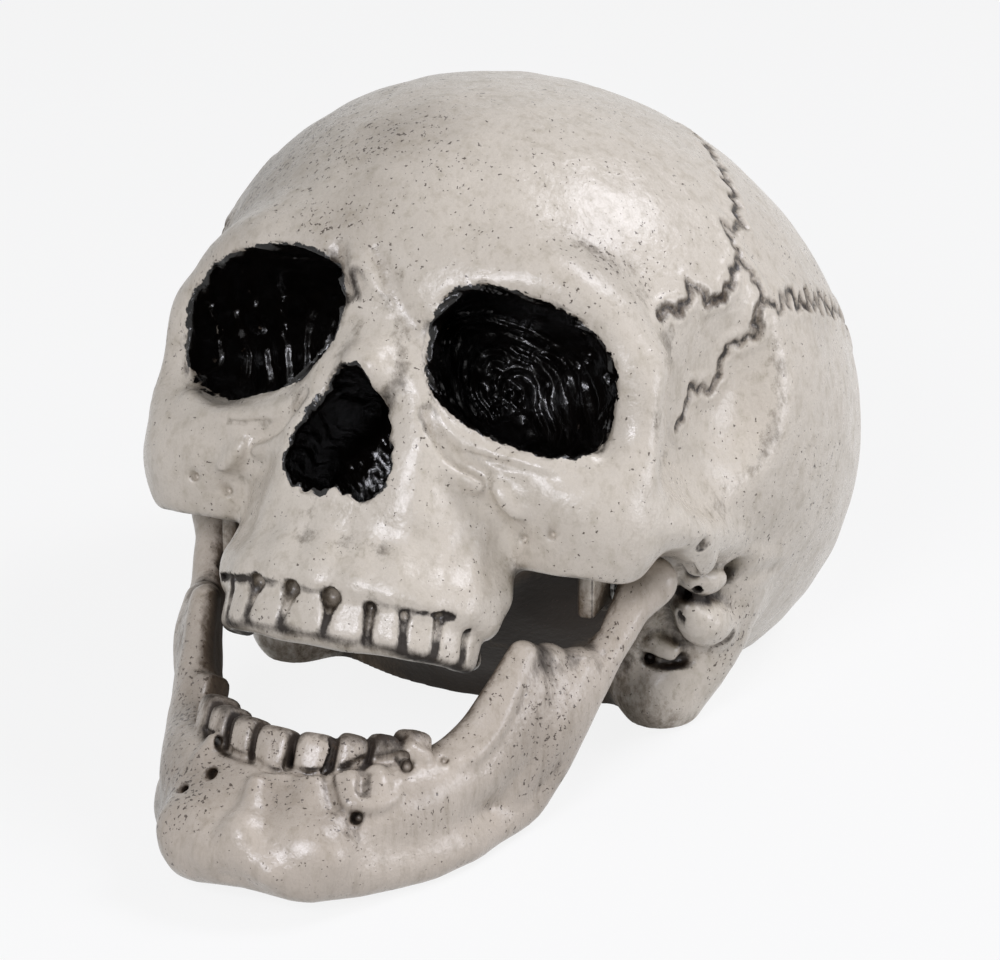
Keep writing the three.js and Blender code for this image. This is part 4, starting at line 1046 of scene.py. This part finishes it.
    # PVC has an IOR of 1.53, and handling has taken some of its gloss
    shader.inputs["Specular IOR Level"].default_value = 0.32
    shader.inputs["IOR"].default_value = 1.53
    shader.inputs["Coat Roughness"].default_value = 0.1
    return material


bone = bone_plastic("painted_pvc_bone", "#c7bfb1", "#b6ad9f", "#8a806b", "#4e3e2a", (1.0, 1.0, 0.7), 1.0)
jaw_bone = bone_plastic("painted_pvc_jaw", "#bcb2a4", "#a89d8f", "#7b705d", "#443524", (1.2, 1.2, 0.35), 0.25)
head.data.materials.append(bone)
jaw.data.materials.append(jaw_bone)
print(len(bone.node_tree.nodes), "nodes in the bone plastic")

# %% [markdown]
# ## Zinc, nylon and bare plastic
# The screws, pins, washers and clips are zinc-plated steel, the bushes are
# nylon, and the plate underneath is the same PVC, left unpainted. A plain
# colour would do for parts this small, but a grain in the tone, the roughness
# and the height keeps them from looking like a computer's plastic.

# %% The small parts: zinc-plated steel, nylon and the bare base moulding
def plain_finish(name, code, metallic, roughness, grit):
    """One colour with a grain of so many millimetres in its tone, roughness and height."""
    material, tree, shader, mm = new_material(name)
    grain = add(tree, "ShaderNodeTexNoise", {"Vector": mm, "Scale": 1 / grit, "Detail": 4.0}).outputs[0]
    pale = add(tree, "ShaderNodeHueSaturation", {"Color": linear(code), "Value": 1.12}).outputs[0]
    dark = add(tree, "ShaderNodeHueSaturation", {"Color": linear(code), "Value": 0.85}).outputs[0]
    tone = add(tree, "ShaderNodeMix", {0: grain, 6: pale, 7: dark}, data_type="RGBA").outputs[2]
    tree.links.new(tone, shader.inputs["Base Color"])
    dull = add(tree, "ShaderNodeMapRange", {0: grain, 3: roughness * 0.8, 4: roughness * 1.2}).outputs[0]
    tree.links.new(dull, shader.inputs["Roughness"])
    bump = add(tree, "ShaderNodeBump", {"Height": grain, "Distance": 0.0003, "Strength": 0.4}).outputs[0]
    tree.links.new(bump, shader.inputs["Normal"])
    shader.inputs["Metallic"].default_value = metallic
    return material


# zinc plating is a grey metal with a soft, slightly cloudy gloss
zinc = plain_finish("zinc_plated_steel", "#b4b4b0", 1.0, 0.34, 0.8)
# nylon and bare PVC leave the mould milky and half matt
nylon = plain_finish("moulded_nylon", "#e6e3da", 0.0, 0.5, 1.2)
base_plastic = plain_finish("moulded_pvc_base", "#9a9389", 0.0, 0.5, 1.5)
for name, node in frame["nodes"].items():
    if name in ("cranium_shell", "jaw"):
        continue
    finish = nylon if "bush" in name else base_plastic if name == "skull_base" else zinc
    node.data.materials.clear()
    node.data.materials.append(finish)
print(len(frame["nodes"]) - 2, "small parts finished")

# %% [markdown]
# ## The room
# A white sweep with no horizon, an even pale world and four soft lamps: one
# high at the right and behind, one in front, a weak one at the left, and a low
# one at the right for the side of the head. The camera stands where the
# photographer stood: to the skull's left, a little above, a metre away.

# %% Camera
# the point in the middle of the picture, near the middle of the head
AIM = Vector((0.0003, SHIFT_Y / 1000, 0.005125 + SHIFT_Z / 1000))
turn, rise = math.radians(23), math.radians(22)
away = Vector((math.sin(turn) * math.cos(rise), -math.cos(turn) * math.cos(rise), math.sin(rise)))
lens = bpy.data.cameras.new("camera")
lens.sensor_width = 36
lens.lens = 152.3
camera = placed("camera", lens)
camera.location = AIM + away
camera.rotation_euler = away.to_track_quat("Z", "Y").to_euler()
bpy.context.scene.camera = camera
print("camera at", [round(v, 3) for v in camera.location])


# %% Lamps
# metres
LAMP_AIM = Vector((0, 0, 0.08))
LAMPS = {
    # place and width in metres, power in watts
    "side": ((0.62, 0.33, 0.92), 0.45, 7.8),
    "front": ((0.085, -0.97, 0.6), 0.35, 8.5),
    "left": ((-0.6, -0.67, 0.71), 0.4, 0.6),
    "low side": ((1.09, 0.1, 0.17), 0.4, 4.0),
}
for name, (place, width, power) in LAMPS.items():
    light = bpy.data.lights.new(name, "AREA")
    light.color = linear("#f4f5ff")[:3]
    light.size = width
    light.energy = power
    stand = placed(name, light)
    stand.location = place
    stand.rotation_euler = (Vector(place) - LAMP_AIM).to_track_quat("Z", "Y").to_euler()
    print("lamp", name, power, "W")


# %% Floor and world
def seen_white(tree):
    """1 for the rays that should meet a white room: from the camera, mirrored or let through."""
    rays = add(tree, "ShaderNodeLightPath").outputs
    direct = add(tree, "ShaderNodeMath", {0: rays["Is Camera Ray"], 1: rays["Is Glossy Ray"]}).outputs[0]
    sockets = {0: direct, 1: rays["Is Transmission Ray"]}
    return add(tree, "ShaderNodeMath", sockets, use_clamp=True).outputs[0]


floor_mesh = bpy.data.meshes.new("floor")
floor_mesh.from_pydata([(-4, -4, 0), (4, -4, 0), (4, 4, 0), (-4, 4, 0)], [], [(0, 1, 2, 3)])
floor = placed("floor", floor_mesh)
floor.location.z = -0.0005
paper = bpy.data.materials.new("paper_sweep")
paper.use_nodes = True
tree = paper.node_tree
tree.nodes.clear()
matt = add(tree, "ShaderNodeBsdfDiffuse", {"Color": linear("#cfcfcf")}).outputs[0]
glow = add(tree, "ShaderNodeEmission", {"Color": (1, 1, 1, 1), "Strength": 1.0}).outputs[0]
# a little of the lamps' light stays on the paper, so that the skull has a soft shadow
seen = add(tree, "ShaderNodeMath", {0: seen_white(tree), 1: 0.86}, operation="MULTIPLY").outputs[0]
mixed = add(tree, "ShaderNodeMixShader", {0: seen, 1: matt, 2: glow})
add(tree, "ShaderNodeOutputMaterial", {"Surface": mixed.outputs[0]})
floor_mesh.materials.append(paper)

world = bpy.data.worlds.new("studio")
world.use_nodes = True
tree = world.node_tree
tree.nodes.clear()
soft = add(tree, "ShaderNodeBackground", {"Color": (1, 1, 1, 1), "Strength": 0.13}).outputs[0]
white = add(tree, "ShaderNodeBackground", {"Color": (1, 1, 1, 1), "Strength": 1.0}).outputs[0]
mixed = add(tree, "ShaderNodeMixShader", {0: seen_white(tree), 1: soft, 2: white})
add(tree, "ShaderNodeOutputWorld", {"Surface": mixed.outputs[0]})
bpy.context.scene.world = world
bpy.context.scene.view_settings.view_transform = "Standard"
print("made", floor.name, "and", world.name)
